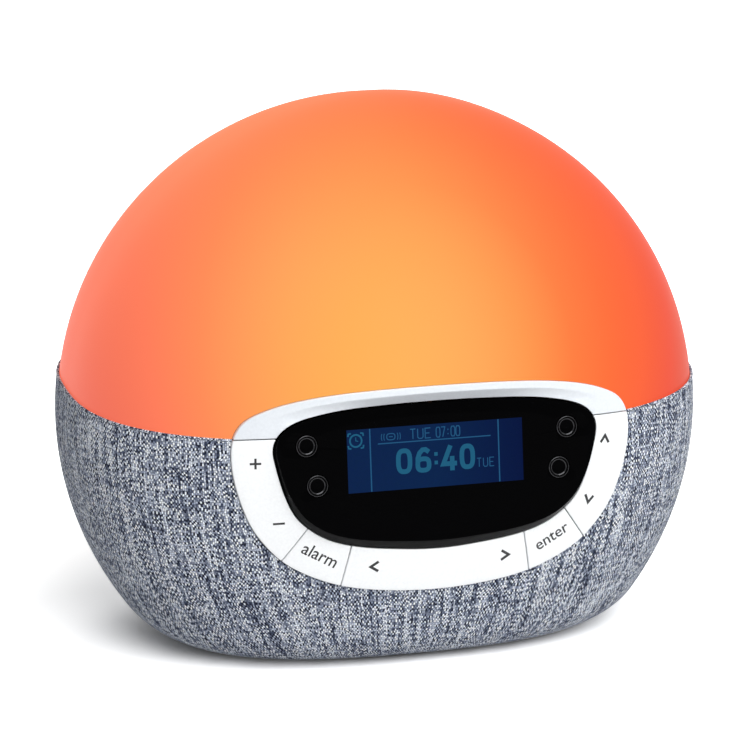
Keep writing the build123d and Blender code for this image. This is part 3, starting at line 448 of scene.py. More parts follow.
def melange_cloth():
    """Plain weave of fine upright yarns in navy, grey and white, with long and short flecks."""
    material, tree, shader = new_finish(
        "melange cloth", Roughness=0.9, Sheen_Weight=0.04, Sheen_Roughness=0.5,
        Sheen_Tint=(0.8, 0.85, 1, 1), Specular_IOR_Level=0.15)

    def calc(*terms):
        return reckon(tree, *terms)

    flat = ("noise_dimensions", "2D")

    def noise(x, y, scale_x, scale_y):
        spot = add(tree, "CombineXYZ", 0, X=calc("MULTIPLY", x, scale_x),
                   Y=calc("MULTIPLY", y, scale_y))
        return add(tree, "TexNoise", "Fac", flat, Vector=spot, Scale=1, Detail=1)

    def chance(x, y):
        spot = add(tree, "CombineXYZ", 0, X=x, Y=y)
        return add(tree, "TexWhiteNoise", "Value", flat, Vector=spot)

    def weighed(*parts):
        total = calc("MULTIPLY", *parts[0])
        for part in parts[1:]:
            total = calc("ADD", total, calc("MULTIPLY", *part))
        return total

    def melange(row, along, length):
        """One yarn's own shade, changing slowly along its run."""
        run = calc("ADD", calc("DIVIDE", along, length), calc("MULTIPLY", chance(row, row), 5))
        step = calc("FLOOR", run)
        return add(tree, "Mix", "Result", Factor=calc("FRACT", run), A=chance(row, step),
                   B=chance(row, calc("ADD", step, 1)))

    threads = add(tree, "UVMap", "UV", ("uv_map", "weave"))
    across, up = (add(tree, "SeparateXYZ", axis, Vector=threads) for axis in "XY")

    # Both sets of yarn wander a little; each upright one has its floats at its own heights.
    sway = calc("MULTIPLY", noise(across, up, 0.16, 0.2), YARN_SWAY)
    warp = calc("ADD", calc("DIVIDE", across, WARP_PITCH), sway)
    sway = calc("MULTIPLY", noise(up, across, 0.16, 0.14), YARN_SWAY)
    weft = calc("ADD", calc("DIVIDE", up, WEFT_PITCH), sway)
    warp_row, weft_row = calc("FLOOR", warp), calc("FLOOR", weft)
    run = calc("ADD", weft, calc("MULTIPLY", chance(warp_row, warp_row), 0.6))
    float_row = calc("FLOOR", run)
    warp_side = calc("SUBTRACT", calc("FRACT", warp), 0.5)
    float_side = calc("SUBTRACT", calc("FRACT", run), 0.5)

    # Each float's own shade, on top of slow changes along the yarns and over the cloth.
    shade = weighed((calc("PINGPONG", calc("ADD", warp_row, float_row), 1), 0.33),
                    (chance(warp_row, float_row), 0.50), (melange(warp_row, up, 12.0), 0.48),
                    (melange(weft_row, across, 5.0), 0.24), (noise(across, up, 0.05, 0.04), 0.03))
    yarn = tree.nodes.new("ShaderNodeValToRGB")
    stops = yarn.color_ramp.elements
    stops[0].position, stops[0].color = YARN_SHADES[0]
    stops[1].position, stops[1].color = YARN_SHADES[-1]
    for position, colour in YARN_SHADES[1:-1]:
        stops.new(position).color = colour
    fill(tree, yarn, Fac=calc("SUBTRACT", shade, 0.30))
    dye = blend(tree, chance(float_row, warp_row), (0.90, 0.94, 1.0, 1), (1.0, 0.99, 0.96, 1))
    dyed = blend(tree, 1, yarn.outputs["Color"], dye, "MULTIPLY")

    # Round yarns: high along their middles, low where a float dips under; painted shade darkens the
    # colour in those dips.
    def arch(side, power):
        reach = calc("MULTIPLY", calc("ABSOLUTE", side), 2)
        return calc("SUBTRACT", 1, calc("POWER", reach, power))

    height = calc("MULTIPLY", arch(warp_side, 2), arch(float_side, 4))
    painted_dip_shade = add(tree, "MapRange", "Result", Value=height, From_Max=0.6, To_Min=0.06, To_Max=1.0)
    fill(tree, shader, Base_Color=blend(tree, 1, dyed, painted_dip_shade, "MULTIPLY"),
         Normal=add(tree, "Bump", "Normal", Height=height, Strength=0.5, Distance=0.00015))
    return material


cloth = melange_cloth()
dress(fabric, "clock", cloth, "fabric_cover", slot="cloth")
dress(hem, "clock", cloth, slot="cloth")

# ---------------------------------------------------------------- lamps and their deck
# A white tray closes the base under the dome. On it lie an aluminium heat spreader and a
# white lamp board with rows of red, amber and white lamps, all held by small screws.

inner_white = moulded("inner white", (0.78, 0.78, 0.76), 0.45, 0.6, 0.1)
wear(inner_white, "light_tray", "lcd_frame")
wear(moulded("lamp board white", (0.8, 0.8, 0.78), 0.3, 1.5, 0.05), "led_board")
wear(metal("spreader aluminium", (0.82, 0.82, 0.83), 0.35, 1.2), "heat_spreader")


def polish(material, **inputs):
    """Change a finish's shader by its inputs' names."""
    fill(material.node_tree, material.node_tree.nodes["Principled BSDF"], **inputs)
    return material


def lamp_lens(name, colour):
    """A small lit lamp's lens, glowing evenly under a clear skin."""
    return polish(moulded(name, colour, 0.2, 0.8, 0.05), Emission_Color=(*colour, 1),
                  Emission_Strength=1.5)


wear(lamp_lens("red lamp", (0.9, 0.08, 0.03)), "red_leds")
wear(lamp_lens("amber lamp", (1.0, 0.42, 0.06)), "amber_leds")
wear(lamp_lens("white lamp", (0.9, 0.85, 0.7)), "white_leds")

# ---------------------------------------------------------------- dome
# One opal acrylic moulding, lit from inside by the lamp board: brightest low in front of and behind
# the lamps, redder towards its ends. Its glow also carries painted studio light, paler and pinker
# on its left half. Screws hold its inner flange from below.

DOME_WALL, DOME_GAP = 2.2, 0.06
LAMP_HEART = (0.0, -2.0, 87.5)
GLOW_NEAR, GLOW_FAR = 67.3, 103.2
LEFT_GLOW_AND_PAINTED_LIGHT = [(0.96, 0.52, 0.093), (0.96, 0.463, 0.087), (0.96, 0.40, 0.088), (0.96, 0.321, 0.087),
             (0.96, 0.243, 0.083), (0.96, 0.187, 0.09), (0.83, 0.142, 0.085)]
RIGHT_GLOW_AND_PAINTED_LIGHT = [(0.96, 0.33, 0.090), (0.96, 0.245, 0.050), (0.96, 0.158, 0.026), (0.96, 0.128, 0.021),
              (0.935, 0.106, 0.024), (0.835, 0.066, 0.024), (0.66, 0.058, 0.027)]


def dome_skin(across, up):
    turn = across * 2 * math.pi
    low = seam_height(turn, DOME_INSET) - HEM_RADIUS
    climb_from = np.arcsin((low - WAIST_Z) / (HALF_HEIGHT - DOME_INSET))
    climb = climb_from + (math.pi / 2 - climb_from) * up
    z = WAIST_Z + (HALF_HEIGHT - DOME_INSET) * np.sin(climb)
    return form_points(turn, z, DOME_INSET)


def opal_glow():
    """Opal plastic lit from within, with painted studio light: colour falls off from the lamps,
    sooner on the right; the left is paler.
    """
    material, tree, shader = new_finish("opal dome glow and painted light", Roughness=0.5, Specular_IOR_Level=0.08,
                                        Emission_Strength=1)
    where = add(tree, "TexCoord", "Object")
    far = reckon(tree, "DISTANCE", where, [c * MM for c in LAMP_HEART], kind="VectorMath",
                 output="Value")
    reach = add(tree, "MapRange", "Result", Value=far, From_Min=GLOW_NEAR * MM,
                From_Max=GLOW_FAR * MM)
    # The left ramp holds painted studio light, paler and pinker; the two ramps are blended from
    # left to right.
    glow_sides_with_painted_light = []
    for colours in (LEFT_GLOW_AND_PAINTED_LIGHT, RIGHT_GLOW_AND_PAINTED_LIGHT):
        ramp = tree.nodes.new("ShaderNodeValToRGB")
        stops = ramp.color_ramp.elements
        for k, colour in enumerate(colours):
            position = k / (len(colours) - 1)
            stop = stops[0] if k == 0 else stops.new(position) if position < 1 else stops[-1]
            stop.position, stop.color = position, (*colour, 1)
        fill(tree, ramp, Fac=reach)
        glow_sides_with_painted_light.append(ramp.outputs["Color"])
    side = add(tree, "MapRange", "Result", ("interpolation_type", "SMOOTHSTEP"),
               Value=add(tree, "SeparateXYZ", "X", Vector=where), From_Min=-80 * MM,
               From_Max=80 * MM)
    cloud = add(tree, "TexNoise", "Fac", Vector=where, Scale=40)
    fill(tree, shader, Emission_Color=blend(tree, side, *glow_sides_with_painted_light),
         Base_Color=blend(tree, cloud, (0.03, 0.014, 0.010, 1), (0.04, 0.018, 0.013, 1)))
    return material


dome = drape("opal_dome", 240, 72, dome_skin)
thicken(dome, DOME_WALL)
cut(dome, panel_cutter(smooth_outline(RING_OUTLINE, DOME_GAP), HOLE_INNER, 24))
smooth(dome, 40)
dress(dome, "clock", opal_glow(), "dome_diffuser", slot="opal_dome")

# ---------------------------------------------------------------- display window
# One gloss-black moulding with a flat face and a bevelled, flaring rim, bored for the four
# round buttons. It is glued to the key carrier's wall.

WINDOW_FOOT = [
    (0, 16.5), (18.5, 16.1), (33, 15.2), (43, 13.4), (48.4, 11.3), (51.5, 8.3), (52.7, 5),
    (52.2, 0.5), (50.5, -6.1), (48.4, -12.1), (45.3, -17.6), (42, -20.8), (36.1, -24.6),
    (28.4, -27.2), (15.3, -29.2), (0, -30.2),
]
WINDOW_FACE = [
    (0, 16.2), (18.5, 15.8), (33, 14.9), (43, 13.1), (48.2, 11.1), (51.2, 8.2), (52.2, 5),
    (51.7, 0.6), (50, -5.8), (47.6, -11.6), (44.3, -16.6), (41, -19.6), (35, -22.9),
    (27.6, -25), (15, -26.6), (0, -27.4),
]
BEVEL_DEPTH, RIM_RETURN, WINDOW_WALL = 3.0, 1.8, 1.8
FACE_ROWS, FLARE_ROWS = 4, 3
WINDOW_ROWS = FACE_ROWS + FLARE_ROWS + 1
face_curve, foot_curve = smooth_outline(WINDOW_FACE), smooth_outline(WINDOW_FOOT)
TOP_BUTTON, LOW_BUTTON = (42.6, 5.4), (39.6, -7.3)
button_spots = {
    "upper_left_button": (-TOP_BUTTON[0], TOP_BUTTON[1]),
    "lower_left_button": (-LOW_BUTTON[0], LOW_BUTTON[1]),
    "upper_right_button": TOP_BUTTON,
    "lower_right_button": LOW_BUTTON,
}
BUTTON_HOLE = 3.7


def window_skin(across, up):
    way = across * len(face_curve[0])
    row = np.round(up * WINDOW_ROWS)
    face, foot = round_outline(face_curve, way), round_outline(foot_curve, way)
    filled = np.clip(row / FACE_ROWS, 0, 1)[:, None]
    flare = np.clip(row - FACE_ROWS, 0, FLARE_ROWS)[:, None] / FLARE_ROWS
    spot = face * filled + (foot - face) * flare
    depth = -BEVEL_DEPTH * flare[:, 0] - RIM_RETURN * (row == WINDOW_ROWS)
    return on_panel(spot[:, 0], spot[:, 1], depth)


def turned_on_panel(name, spot, profile, segments=64):
    """A turned piece standing on the front panel: its profile is (radius, level) points."""
    profile = np.array(profile, float)

    def skin(across, up):
        row = np.round(up * (len(profile) - 1)).astype(int)
        radius, level = profile[row, 0], profile[row, 1]
        turn = across * 2 * math.pi
        return on_panel(spot[0] + radius * np.cos(turn), spot[1] + radius * np.sin(turn), level)

    piece = drape(name, segments, len(profile) - 1, skin)
    edit(piece, face_out)
    return piece


window = drape("window_moulding", 300, WINDOW_ROWS, window_skin)
thicken(window, WINDOW_WALL)
bore = [(0, -6), (BUTTON_HOLE, -6), (BUTTON_HOLE, 2), (0, 2)]
cut(window, *[turned_on_panel("bore", spot, bore) for spot in button_spots.values()])
round_edges(window, 0.22, 3, 28)
smooth(window, 30)


def gloss_black(name, roughness, shine):
    """Piano-black gloss, faintly uneven."""
    return polish(moulded(name, (0.0008, 0.0008, 0.001), roughness, 14, 0),
                  Specular_IOR_Level=shine)


window_gloss = gloss_black("window gloss", 0.07, 0.01)
rim_gloss = gloss_black("rim gloss", 0.3, 0.035)
dress(window, "clock", window_gloss, "display_window", slot="window_black")
window.data.materials.append(rim_gloss)
out_of_panel = Vector((0, -math.cos(PANEL_TILT), math.sin(PANEL_TILT)))
for face in window.data.polygons:
    level = (face.center / MM - Vector((0, PANEL_Y, PANEL_Z))).dot(out_of_panel)
    if 0.25 < face.normal.dot(out_of_panel) < 0.93 and -3.3 < level < -0.08:
        face.material_index = 1

# Round push buttons in the window: gloss caps with a raised rim, each on its own stem.
BUTTON_PROFILE = [
    (0, -15.8), (1.8, -15.8), (1.8, -3.6), (4.4, -3.6), (4.4, -2.6), (3.45, -2.6), (3.45, -0.2),
    (3.4, -0.02), (3.28, 0.1), (3.12, 0.12), (2.98, 0.02), (2.9, -0.1), (2.6, -0.2), (2.3, -0.3),
    (2.1, -0.36), (1.0, -0.4), (0, -0.4),
]
button_rim = metal("button rim", (0.03, 0.03, 0.032), 0.14, 2)
for name, spot in button_spots.items():
    button = turned_on_panel(name + "_cap", spot, BUTTON_PROFILE)
    smooth(button, 40)
    dress(button, name, window_gloss, name, slot="window_black")
    button.data.materials.append(button_rim)
    heart = Vector(on_panel(*spot, 0))
    for face in button.data.polygons:
        arm = face.center / MM - heart
        level = arm.dot(out_of_panel)
        radius = (arm - out_of_panel * level).length
        if level > -0.35 and (radius > 3.05 or 2.2 < radius < 2.62):
            face.material_index = 1

# ---------------------------------------------------------------- display
# A dark blue segment display behind the window: a lit field with an alarm bell, rules, the
# alarm's day and time, and the clock's own large time.

DISPLAY_AT, DISPLAY_SIZE = (-1.0, -0.5), (57.4, 19.9)
LIT_FACE = 0.03


def lit_field():
    """The display's blue field, a little brighter on its left, with the faintest grain."""
    material, tree, shader = new_finish(
        "display field", Roughness=0.07, Specular_IOR_Level=0.015,
        Base_Color=(0.001, 0.001, 0.002, 1), Emission_Strength=1)
    where = add(tree, "TexCoord", "Object")
    side = add(tree, "MapRange", "Result", Value=add(tree, "SeparateXYZ", "X", Vector=where),
               From_Min=-30 * MM, From_Max=28 * MM)
    blue = tree.nodes.new("ShaderNodeValToRGB")
    stops = blue.color_ramp.elements
    stops[0].color, stops[1].color = (0.0018, 0.0150, 0.066, 1), (0.0003, 0.0060, 0.046, 1)
    stops.new(0.5).color = (0.0016, 0.0160, 0.068, 1)
    fill(tree, blue, Fac=side)
    grain = add(tree, "TexNoise", "Color", Vector=where, Scale=900)
    fill(tree, shader, Emission_Color=blend(tree, 0.1, blue.outputs["Color"], grain, "OVERLAY"))
    return material


def field_skin(across, up):
    return on_panel(DISPLAY_AT[0] + (across - 0.5) * DISPLAY_SIZE[0],
                    DISPLAY_AT[1] + (up - 0.5) * DISPLAY_SIZE[1], LIT_FACE)


field = drape("display_field", 24, 8, field_skin)
thicken(field, LIT_FACE)
dress(field, "clock", lit_field(), slot="display_blue")


def lit_mark(name, colour):
    """A lit part of the display, glowing evenly."""
    return polish(moulded(name, [c * 0.05 for c in colour], 0.1, 3, 0),
                  Specular_IOR_Level=0.015, Emission_Color=(*colour, 1), Emission_Strength=1)


bright_mark = lit_mark("bright segments", (0.013, 0.102, 0.190))
faint_mark = lit_mark("fine segments", (0.015, 0.085, 0.19))
MARK_FACE = LIT_FACE + 0.03


def pen_stroke(points, pen, surface, lift, closed=False):
    """A flat pen stroke of width pen through (u, v) points, laid on a surface(u, v)."""
    points = np.array(points, float)
    run_in = points - np.roll(points, 1, 0)
    run_out = np.roll(points, -1, 0) - points
    if not closed:
        run_in[0], run_out[-1] = run_out[0], run_in[-1]
    run_in /= np.linalg.norm(run_in, axis=1)[:, None]
    run_out /= np.linalg.norm(run_out, axis=1)[:, None]
    across = np.stack([-(run_in + run_out)[:, 1], (run_in + run_out)[:, 0]], axis=1)
    across /= np.linalg.norm(across, axis=1)[:, None]
    square = np.stack([-run_out[:, 1], run_out[:, 0]], axis=1)
    across *= (pen / 2 / np.maximum(0.5, (across * square).sum(1)))[:, None]
    count = len(points) if closed else len(points) - 1

    def skin(along, over):
        k = np.round(along * count).astype(int) % len(points)
        spot = points[k] + across[k] * (2 * over - 1)[:, None]
        return on_panel(spot[:, 0], spot[:, 1], surface(spot[:, 0], spot[:, 1]) + lift)

    return drape("stroke", count, 1, skin, 0.000002)


def joined(name, strokes):
    """Make several strokes one thin piece."""
    deselect()
    for piece in strokes:
        piece.select_set(True)
    bpy.context.view_layer.objects.active = strokes[0]
    bpy.ops.object.join()
    mark = bpy.context.object
    mark.name = name
    thicken(mark, 0.02)
    return mark


def flat_face(u, v):
    return np.zeros_like(u)


def lit_stroke(points, pen, closed=False):
    return pen_stroke(points, pen, flat_face, MARK_FACE, closed)


def rounded(left, low, wide, tall, pen, count=28):
    """A rounded upright loop whose outer edges fill the given box."""
    turns = [2 * math.pi * k / count for k in range(count)]
    bulge = [(math.copysign(abs(c) ** 0.7, c), math.copysign(abs(s) ** 0.7, s))
             for c, s in ((math.cos(t), math.sin(t)) for t in turns)]
    return [(left + wide / 2 + (wide - pen) / 2 * c, low + tall / 2 + (tall - pen) / 2 * s)
            for c, s in bulge]


# The large time, 8.1 mm high.
TIME_LOW, TIME_TALL, TIME_PEN = -5.65, 8.1, 1.5
big_time = [
    lit_stroke(rounded(-14.0, TIME_LOW, 5.3, TIME_TALL, TIME_PEN), TIME_PEN, True),
    lit_stroke(rounded(-7.7, TIME_LOW, 5.2, 5.1, TIME_PEN), TIME_PEN, True),
    lit_stroke([(-6.95, -3.2), (-6.85, -1.0), (-6.3, 0.55), (-5.3, 1.55), (-4.3, 1.6),
                (-3.2, 0.75)], TIME_PEN),
    lit_stroke([(-0.9, -0.65), (-0.9, 0.5)], 1.1),
    lit_stroke([(-0.9, -3.35), (-0.9, -2.2)], 1.1),
    lit_stroke([(3.9, 2.3), (1.45, -3.45), (5.9, -3.45)], TIME_PEN),
    lit_stroke([(4.35, -5.65), (4.35, -1.1)], TIME_PEN),
    lit_stroke(rounded(6.8, TIME_LOW, 5.1, TIME_TALL, TIME_PEN), TIME_PEN, True),
]
dress(joined("time_digits", big_time), "clock", bright_mark, slot="backlight")

# The alarm bell: a round clock with its hands, two bells above and two feet below.
BELL_AT, BELL_RADIUS = (-26.8, 5.95), 1.9
bell = [lit_stroke([(BELL_AT[0] + BELL_RADIUS * math.cos(k * math.pi / 12),
                     BELL_AT[1] + BELL_RADIUS * math.sin(k * math.pi / 12))
                    for k in range(24)], 0.55, True),
        lit_stroke([(BELL_AT[0], BELL_AT[1] + 1.1), (BELL_AT[0], BELL_AT[1]),
                    (BELL_AT[0] + 0.8, BELL_AT[1] - 0.2)], 0.25)]
for x, y in ((-1, 1), (1, 1), (-1, -1), (1, -1)):
    tip = (BELL_AT[0] + x * 2.55, BELL_AT[1] + y * 2.45)
    bell.append(lit_stroke([(tip[0] - x * 1.05, tip[1] - y * 0.05),
                            (tip[0] - x * 0.2, tip[1] - y * 0.2),
                            (tip[0] - x * 0.05, tip[1] - y * 1.05)], 0.5))
dress(joined("alarm_bell", bell), "clock", bright_mark, slot="backlight")

# Rules, the sound mark and the small words, in the display's finest lines.
small_letters = {
    "T": [[(0, 1), (1, 1)], [(0.5, 1), (0.5, 0)]],
    "U": [[(0, 1), (0, 0.15), (0.25, 0), (0.75, 0), (1, 0.15), (1, 1)]],
    "E": [[(1, 1), (0, 1), (0, 0), (1, 0)], [(0, 0.5), (0.8, 0.5)]],
    "0": [[(0.2, 0), (0, 0.2), (0, 0.8), (0.2, 1), (0.8, 1), (1, 0.8), (1, 0.2), (0.8, 0),
           (0.2, 0)]],
    "7": [[(0, 1), (1, 1), (0.4, 0)]],
    ":": [[(0.5, 0.2), (0.5, 0.34)], [(0.5, 0.64), (0.5, 0.78)]],
}


def small_word(text, left, low, wide, tall, pitch, pen):
    return [lit_stroke([(left + k * pitch + x * wide, low + y * tall) for x, y in line], pen)
            for k, letter in enumerate(text) for line in small_letters[letter]]


display_low, display_top = DISPLAY_AT[1] - DISPLAY_SIZE[1] / 2, DISPLAY_AT[1] + DISPLAY_SIZE[1] / 2
fine = [
    lit_stroke([(-22.2, display_low + 0.1), (-22.2, display_top - 0.1)], 0.42),
    lit_stroke([(19.8, display_low + 0.1), (19.8, display_top - 0.1)], 0.42),
    lit_stroke([(-19.7, 4.45), (17.2, 4.45)], 0.36),
    lit_stroke(rounded(-16.9, 5.3, 3.0, 2.3, 0.3, 16), 0.3, True),
    lit_stroke([(-16.0, 6.45), (-14.8, 6.45)], 0.3),
]
for side in (-1, 1):
    for reach in (1.95, 2.75):
        fine.append(lit_stroke([(-15.4 + side * (reach + 0.35 * math.cos(t)),
                                 6.45 + 1.15 * math.sin(t))
                                for t in (-1.2, -0.6, 0, 0.6, 1.2)], 0.26))
fine += small_word("TUE", -9.1, 5.2, 1.75, 3.1, 2.45, 0.34)
fine += small_word("07:00", -0.6, 5.2, 1.25, 3.1, 1.62, 0.32)
fine += small_word("TUE", 12.5, -5.2, 1.4, 2.75, 2.1, 0.28)
dress(joined("fine_marks", fine), "clock", faint_mark, slot="backlight")

# The display's own stack behind the window: printed mask, glass, milky light guide, board.
wear(gloss_black("mask print", 0.4, 0.1), "window_mask")
wear(moulded("display glass", (0.01, 0.04, 0.11), 0.1, 8, 0), "lcd_glass")
wear(moulded("light guide", (0.5, 0.7, 0.78), 0.35, 1.2, 0.1), "backlight_guide")

# ---------------------------------------------------------------- ring of keys
# Six gloss-white mouldings that follow the body's curve, a hair proud of the cloth: a fixed
# brow, a rocker each side, a key below each and one wide rocker at the foot. They sit on the
# carrier's switches and pins.

KEY_PROUD, KEY_WALL = 1.0, 2.4
TOP_CUT_V = 8.2
SIDE_CUT = ((42.3, -21.1), (50.0, -31.5))
FOOT_CUT = ((28.4, -27.6), (31.1, -40.5))
gap_curve = smooth_outline(WINDOW_FOOT, GAP)


def skin_level(u, v, inset=-KEY_PROUD):
    """How far out of the panel the body's own curve lies at each (u, v), by halving."""
    u, v = np.broadcast_arrays(np.asarray(u, float), np.asarray(v, float))
    low, high = np.full(u.shape, -30.0), np.full(u.shape, 20.0)
    for _ in range(34):
        middle = (low + high) / 2
        spot = on_panel(u, v, middle)
        a, b = form_halves(spot[..., 2], inset)
        inside = (abs(spot[..., 0]) / a) ** PLAN_POWER + (abs(spot[..., 1]) / b) ** PLAN_POWER < 1
        low, high = np.where(inside, middle, low), np.where(inside, high, middle)
    return low


def band_spot(share, way):
    """A spot on the ring: share 0 is its inner edge, 1 its outer edge."""
    share = np.asarray(share, float)[..., None]
    return round_outline(gap_curve, way) * (1 - share) + round_outline(ring_curve, way) * share


def cut_way(share, line, shift, start, end, count=400):
    """Where a parting line, moved sideways, crosses the ring at this share of its width."""
    ways = np.linspace(start, end, count)
    spots = band_spot(np.full(count, share), ways)
    (u0, v0), (u1, v1) = line
    along = np.array([u1 - u0, v1 - v0]) / math.hypot(u1 - u0, v1 - v0)
    off = (spots[:, 0] - u0) * -along[1] + (spots[:, 1] - v0) * along[0] - shift
    k = int(np.argmax(np.sign(off[1:]) != np.sign(off[:-1])))
    return ways[k] + (ways[k + 1] - ways[k]) * off[k] / (off[k] - off[k + 1])


def deepen(piece, depth):
    """Extrude a piece's whole skin straight into the front panel."""
    inwards = (0, depth * MM * math.cos(PANEL_TILT), -depth * MM * math.sin(PANEL_TILT))
    edit(piece, lambda: bpy.ops.mesh.extrude_region_move(
        TRANSFORM_OT_translate={"value": inwards}), face_out)


KEY_ROWS = 8
top_line = ((0, TOP_CUT_V), (60, TOP_CUT_V))


def ring_key(name, first, last, columns):
    """A key between two parting lines, each given as (line, shift, way from, way to)."""
    shares = np.linspace(0, 1, KEY_ROWS + 1)
    starts = np.array([cut_way(s, *first) for s in shares])
    ends = np.array([cut_way(s, *last) for s in shares])

    def skin(across, up):
        row = np.round(up * KEY_ROWS).astype(int)
        spot = band_spot(shares[row], starts[row] + (ends[row] - starts[row]) * across)
        return on_panel(spot[:, 0], spot[:, 1], skin_level(spot[:, 0], spot[:, 1]))

    key = drape(name, columns, KEY_ROWS, skin)
    deepen(key, KEY_WALL)
    round_edges(key, 0.26, 3, 50)
    smooth(key, 40)
    return key


def mirror_piece(piece, name):
    """The same moulding for the other side."""
    twin = piece.copy()
    twin.data = piece.data.copy()
    twin.name = name
    bpy.context.scene.collection.objects.link(twin)
    twin.data.transform(Matrix.Diagonal((-1, 1, 1, 1)))
    twin.data.flip_normals()
    return twin


key_gloss = polish(moulded("key white", (0.90, 0.92, 0.935), 0.24, 0.8, 0.02), Coat_Weight=0.15)
half = GAP / 2
rocker = ring_key("right_rocker_key", (top_line, -half, 3, 8), (SIDE_CUT, half, 9, 12), 60)
word_key = ring_key("right_word_key", (SIDE_CUT, -half, 9, 12), (FOOT_CUT, half, 11.5, 14), 30)
left_foot = tuple((-u, v) for u, v in FOOT_CUT)
foot_key = ring_key("foot_rocker_key", (FOOT_CUT, -half, 11.5, 14),
                    (left_foot, half, 16, 18.5), 80)
left_rocker_key = mirror_piece(rocker, "left_rocker_key")
left_word_key = mirror_piece(word_key, "left_word_key")
for key, body in ((rocker, "right_rocker"), (left_rocker_key, "left_rocker"),
                  (word_key, "right_key"), (left_word_key, "left_key"), (foot_key, "foot_rocker")):
    dress(key, body, key_gloss, body, slot="key_white")

# The fixed brow: its outer band follows the body, then it slopes in to the sunken window.
BROW_BAND, BROW_SLOPE = 10, 7
BROW_COLUMNS = 140
BROW_DIP, BROW_WALL = 1.3, 2.0


def brow_spots(row, way):
    """One row of the brow, from its outer edge in over the lip and down the slope."""
    outer, foot = round_outline(ring_curve, way), round_outline(gap_curve, way)
    side = np.clip((abs(way) - 2.7) / 2.1, 0, 1)
    side = side * side * (3 - 2 * side)
    share = 0.585 - 0.1 * side
    lip = foot + (outer - foot) * share[:, None]
    if row <= BROW_BAND:
        spot = outer + (lip - outer) * row / BROW_BAND
        return spot, skin_level(spot[:, 0], spot[:, 1])
    fall = (row - BROW_BAND) / BROW_SLOPE
    spot = lip + (foot - lip) * fall
    lip_level, skin = skin_level(lip[:, 0], lip[:, 1]), skin_level(spot[:, 0], spot[:, 1])
    foot_level = np.minimum(0, skin_level(foot[:, 0], foot[:, 1]) - BROW_DIP * (1 - side))
    sloped = lip_level + (foot_level - lip_level) * fall
    return spot, skin * side + np.minimum(sloped, skin) * (1 - side)


brow_rows = []
search = np.linspace(0, 8, 300)
for row in range(BROW_BAND + BROW_SLOPE + 1):
    v = brow_spots(row, search)[0][:, 1] - (TOP_CUT_V + half)
    k = int(np.argmax(v < 0))
    end = search[k - 1] + (search[k] - search[k - 1]) * v[k - 1] / (v[k - 1] - v[k])
    way = np.linspace(-end, end, BROW_COLUMNS + 1)
    spot, level = brow_spots(row, way)
    brow_rows.append(on_panel(spot[:, 0], spot[:, 1], level))
brow_rows = np.array(brow_rows)


def brow_skin(across, up):
    row = np.round(up * (len(brow_rows) - 1)).astype(int)
    column = np.round(across * BROW_COLUMNS).astype(int)
    return brow_rows[row, column]


brow = drape("brow_moulding", BROW_COLUMNS, len(brow_rows) - 1, brow_skin)
deepen(brow, BROW_WALL)
round_edges(brow, 0.28, 3, 40)
smooth(brow, 32)
# The brow is the keys' white plastic, made darker and bluer as painted shade for its upward-facing
# surfaces.
brow_gloss_painted_shade = polish(moulded("brow white painted shade", (0.735, 0.775, 0.82), 0.2, 0.8, 0.02), Coat_Weight=0.15)
dress(brow, "clock", brow_gloss_painted_shade, "brow_bezel", slot="key_white")

# Printed marks on the keys: plus, minus, four arrowheads and two plain words, in black ink.
key_ink = moulded("key ink", (0.006, 0.006, 0.007), 0.4, 0.5, 0.1)
INK_LIFT = 0.025


def fine_line(points, step=0.5):
    """The same line with more points, so that it can lie on a curve."""
    spots = [points[0]]
    for start, end in zip(points, points[1:]):
        count = max(1, int(math.hypot(end[0] - start[0], end[1] - start[1]) / step))
        spots += [(start[0] + (end[0] - start[0]) * k / count,
                   start[1] + (end[1] - start[1]) * k / count) for k in range(1, count + 1)]
    return spots


def printed(name, pen, lines, body):
    mark = joined(name, [pen_stroke(fine_line(line), pen, skin_level, INK_LIFT) for line in lines])
    dress(mark, body, key_ink, slot="mask_black")


printed("plus_mark", 0.68, [[(-60.0, 0.6), (-56.6, 0.6)], [(-58.3, 2.3), (-58.3, -1.1)]],
        "left_rocker")
printed("minus_mark", 0.68, [[(-53.0, -19.0), (-49.4, -18.9)]], "left_rocker")
printed("up_mark", 0.86, [[(54.7, -0.9), (56.35, 1.3), (57.7, -1.2)]], "right_rocker")
printed("down_mark", 0.86, [[(49.6, -17.4), (50.7, -20.2), (52.6, -18.2)]], "right_rocker")
printed("back_mark", 0.86, [[(-19.5, -33.4), (-22.0, -35.0), (-19.5, -36.6)]], "foot_rocker")
printed("next_mark", 0.86, [[(21.1, -33.2), (23.6, -34.8), (21.1, -36.4)]], "foot_rocker")


def printed_word(name, text, size, at, turn, body):
    """A plain word set in type, laid on the key's curve."""
    deselect()
    bpy.ops.object.text_add()
    word = bpy.context.object
    word.data.body = text
    word.data.size = size
    word.data.align_x, word.data.align_y = "CENTER", "CENTER"
    word.data.resolution_u = 3
    word.data.offset = 0.045
    bpy.ops.object.convert(target="MESH")
    word = bpy.context.object
    word.name = name
    mesh = word.data
    co = np.empty(len(mesh.vertices) * 3)
    mesh.vertices.foreach_get("co", co)
    co = co.reshape(-1, 3)
    u = at[0] + co[:, 0] * math.cos(turn) - co[:, 1] * math.sin(turn)
    v = at[1] + co[:, 0] * math.sin(turn) + co[:, 1] * math.cos(turn)
    mesh.vertices.foreach_set("co", (on_panel(u, v, skin_level(u, v) + INK_LIFT) * MM).ravel())
    mesh.update()
    thicken(word, 0.02)
    dress(word, body, key_ink, slot="mask_black")


printed_word("alarm_word", "alarm", 5.6, (-38.2, -30.2), math.radians(-29), "left_key")
printed_word("enter_word", "enter", 5.6, (38.2, -30.2), math.radians(29), "right_key")

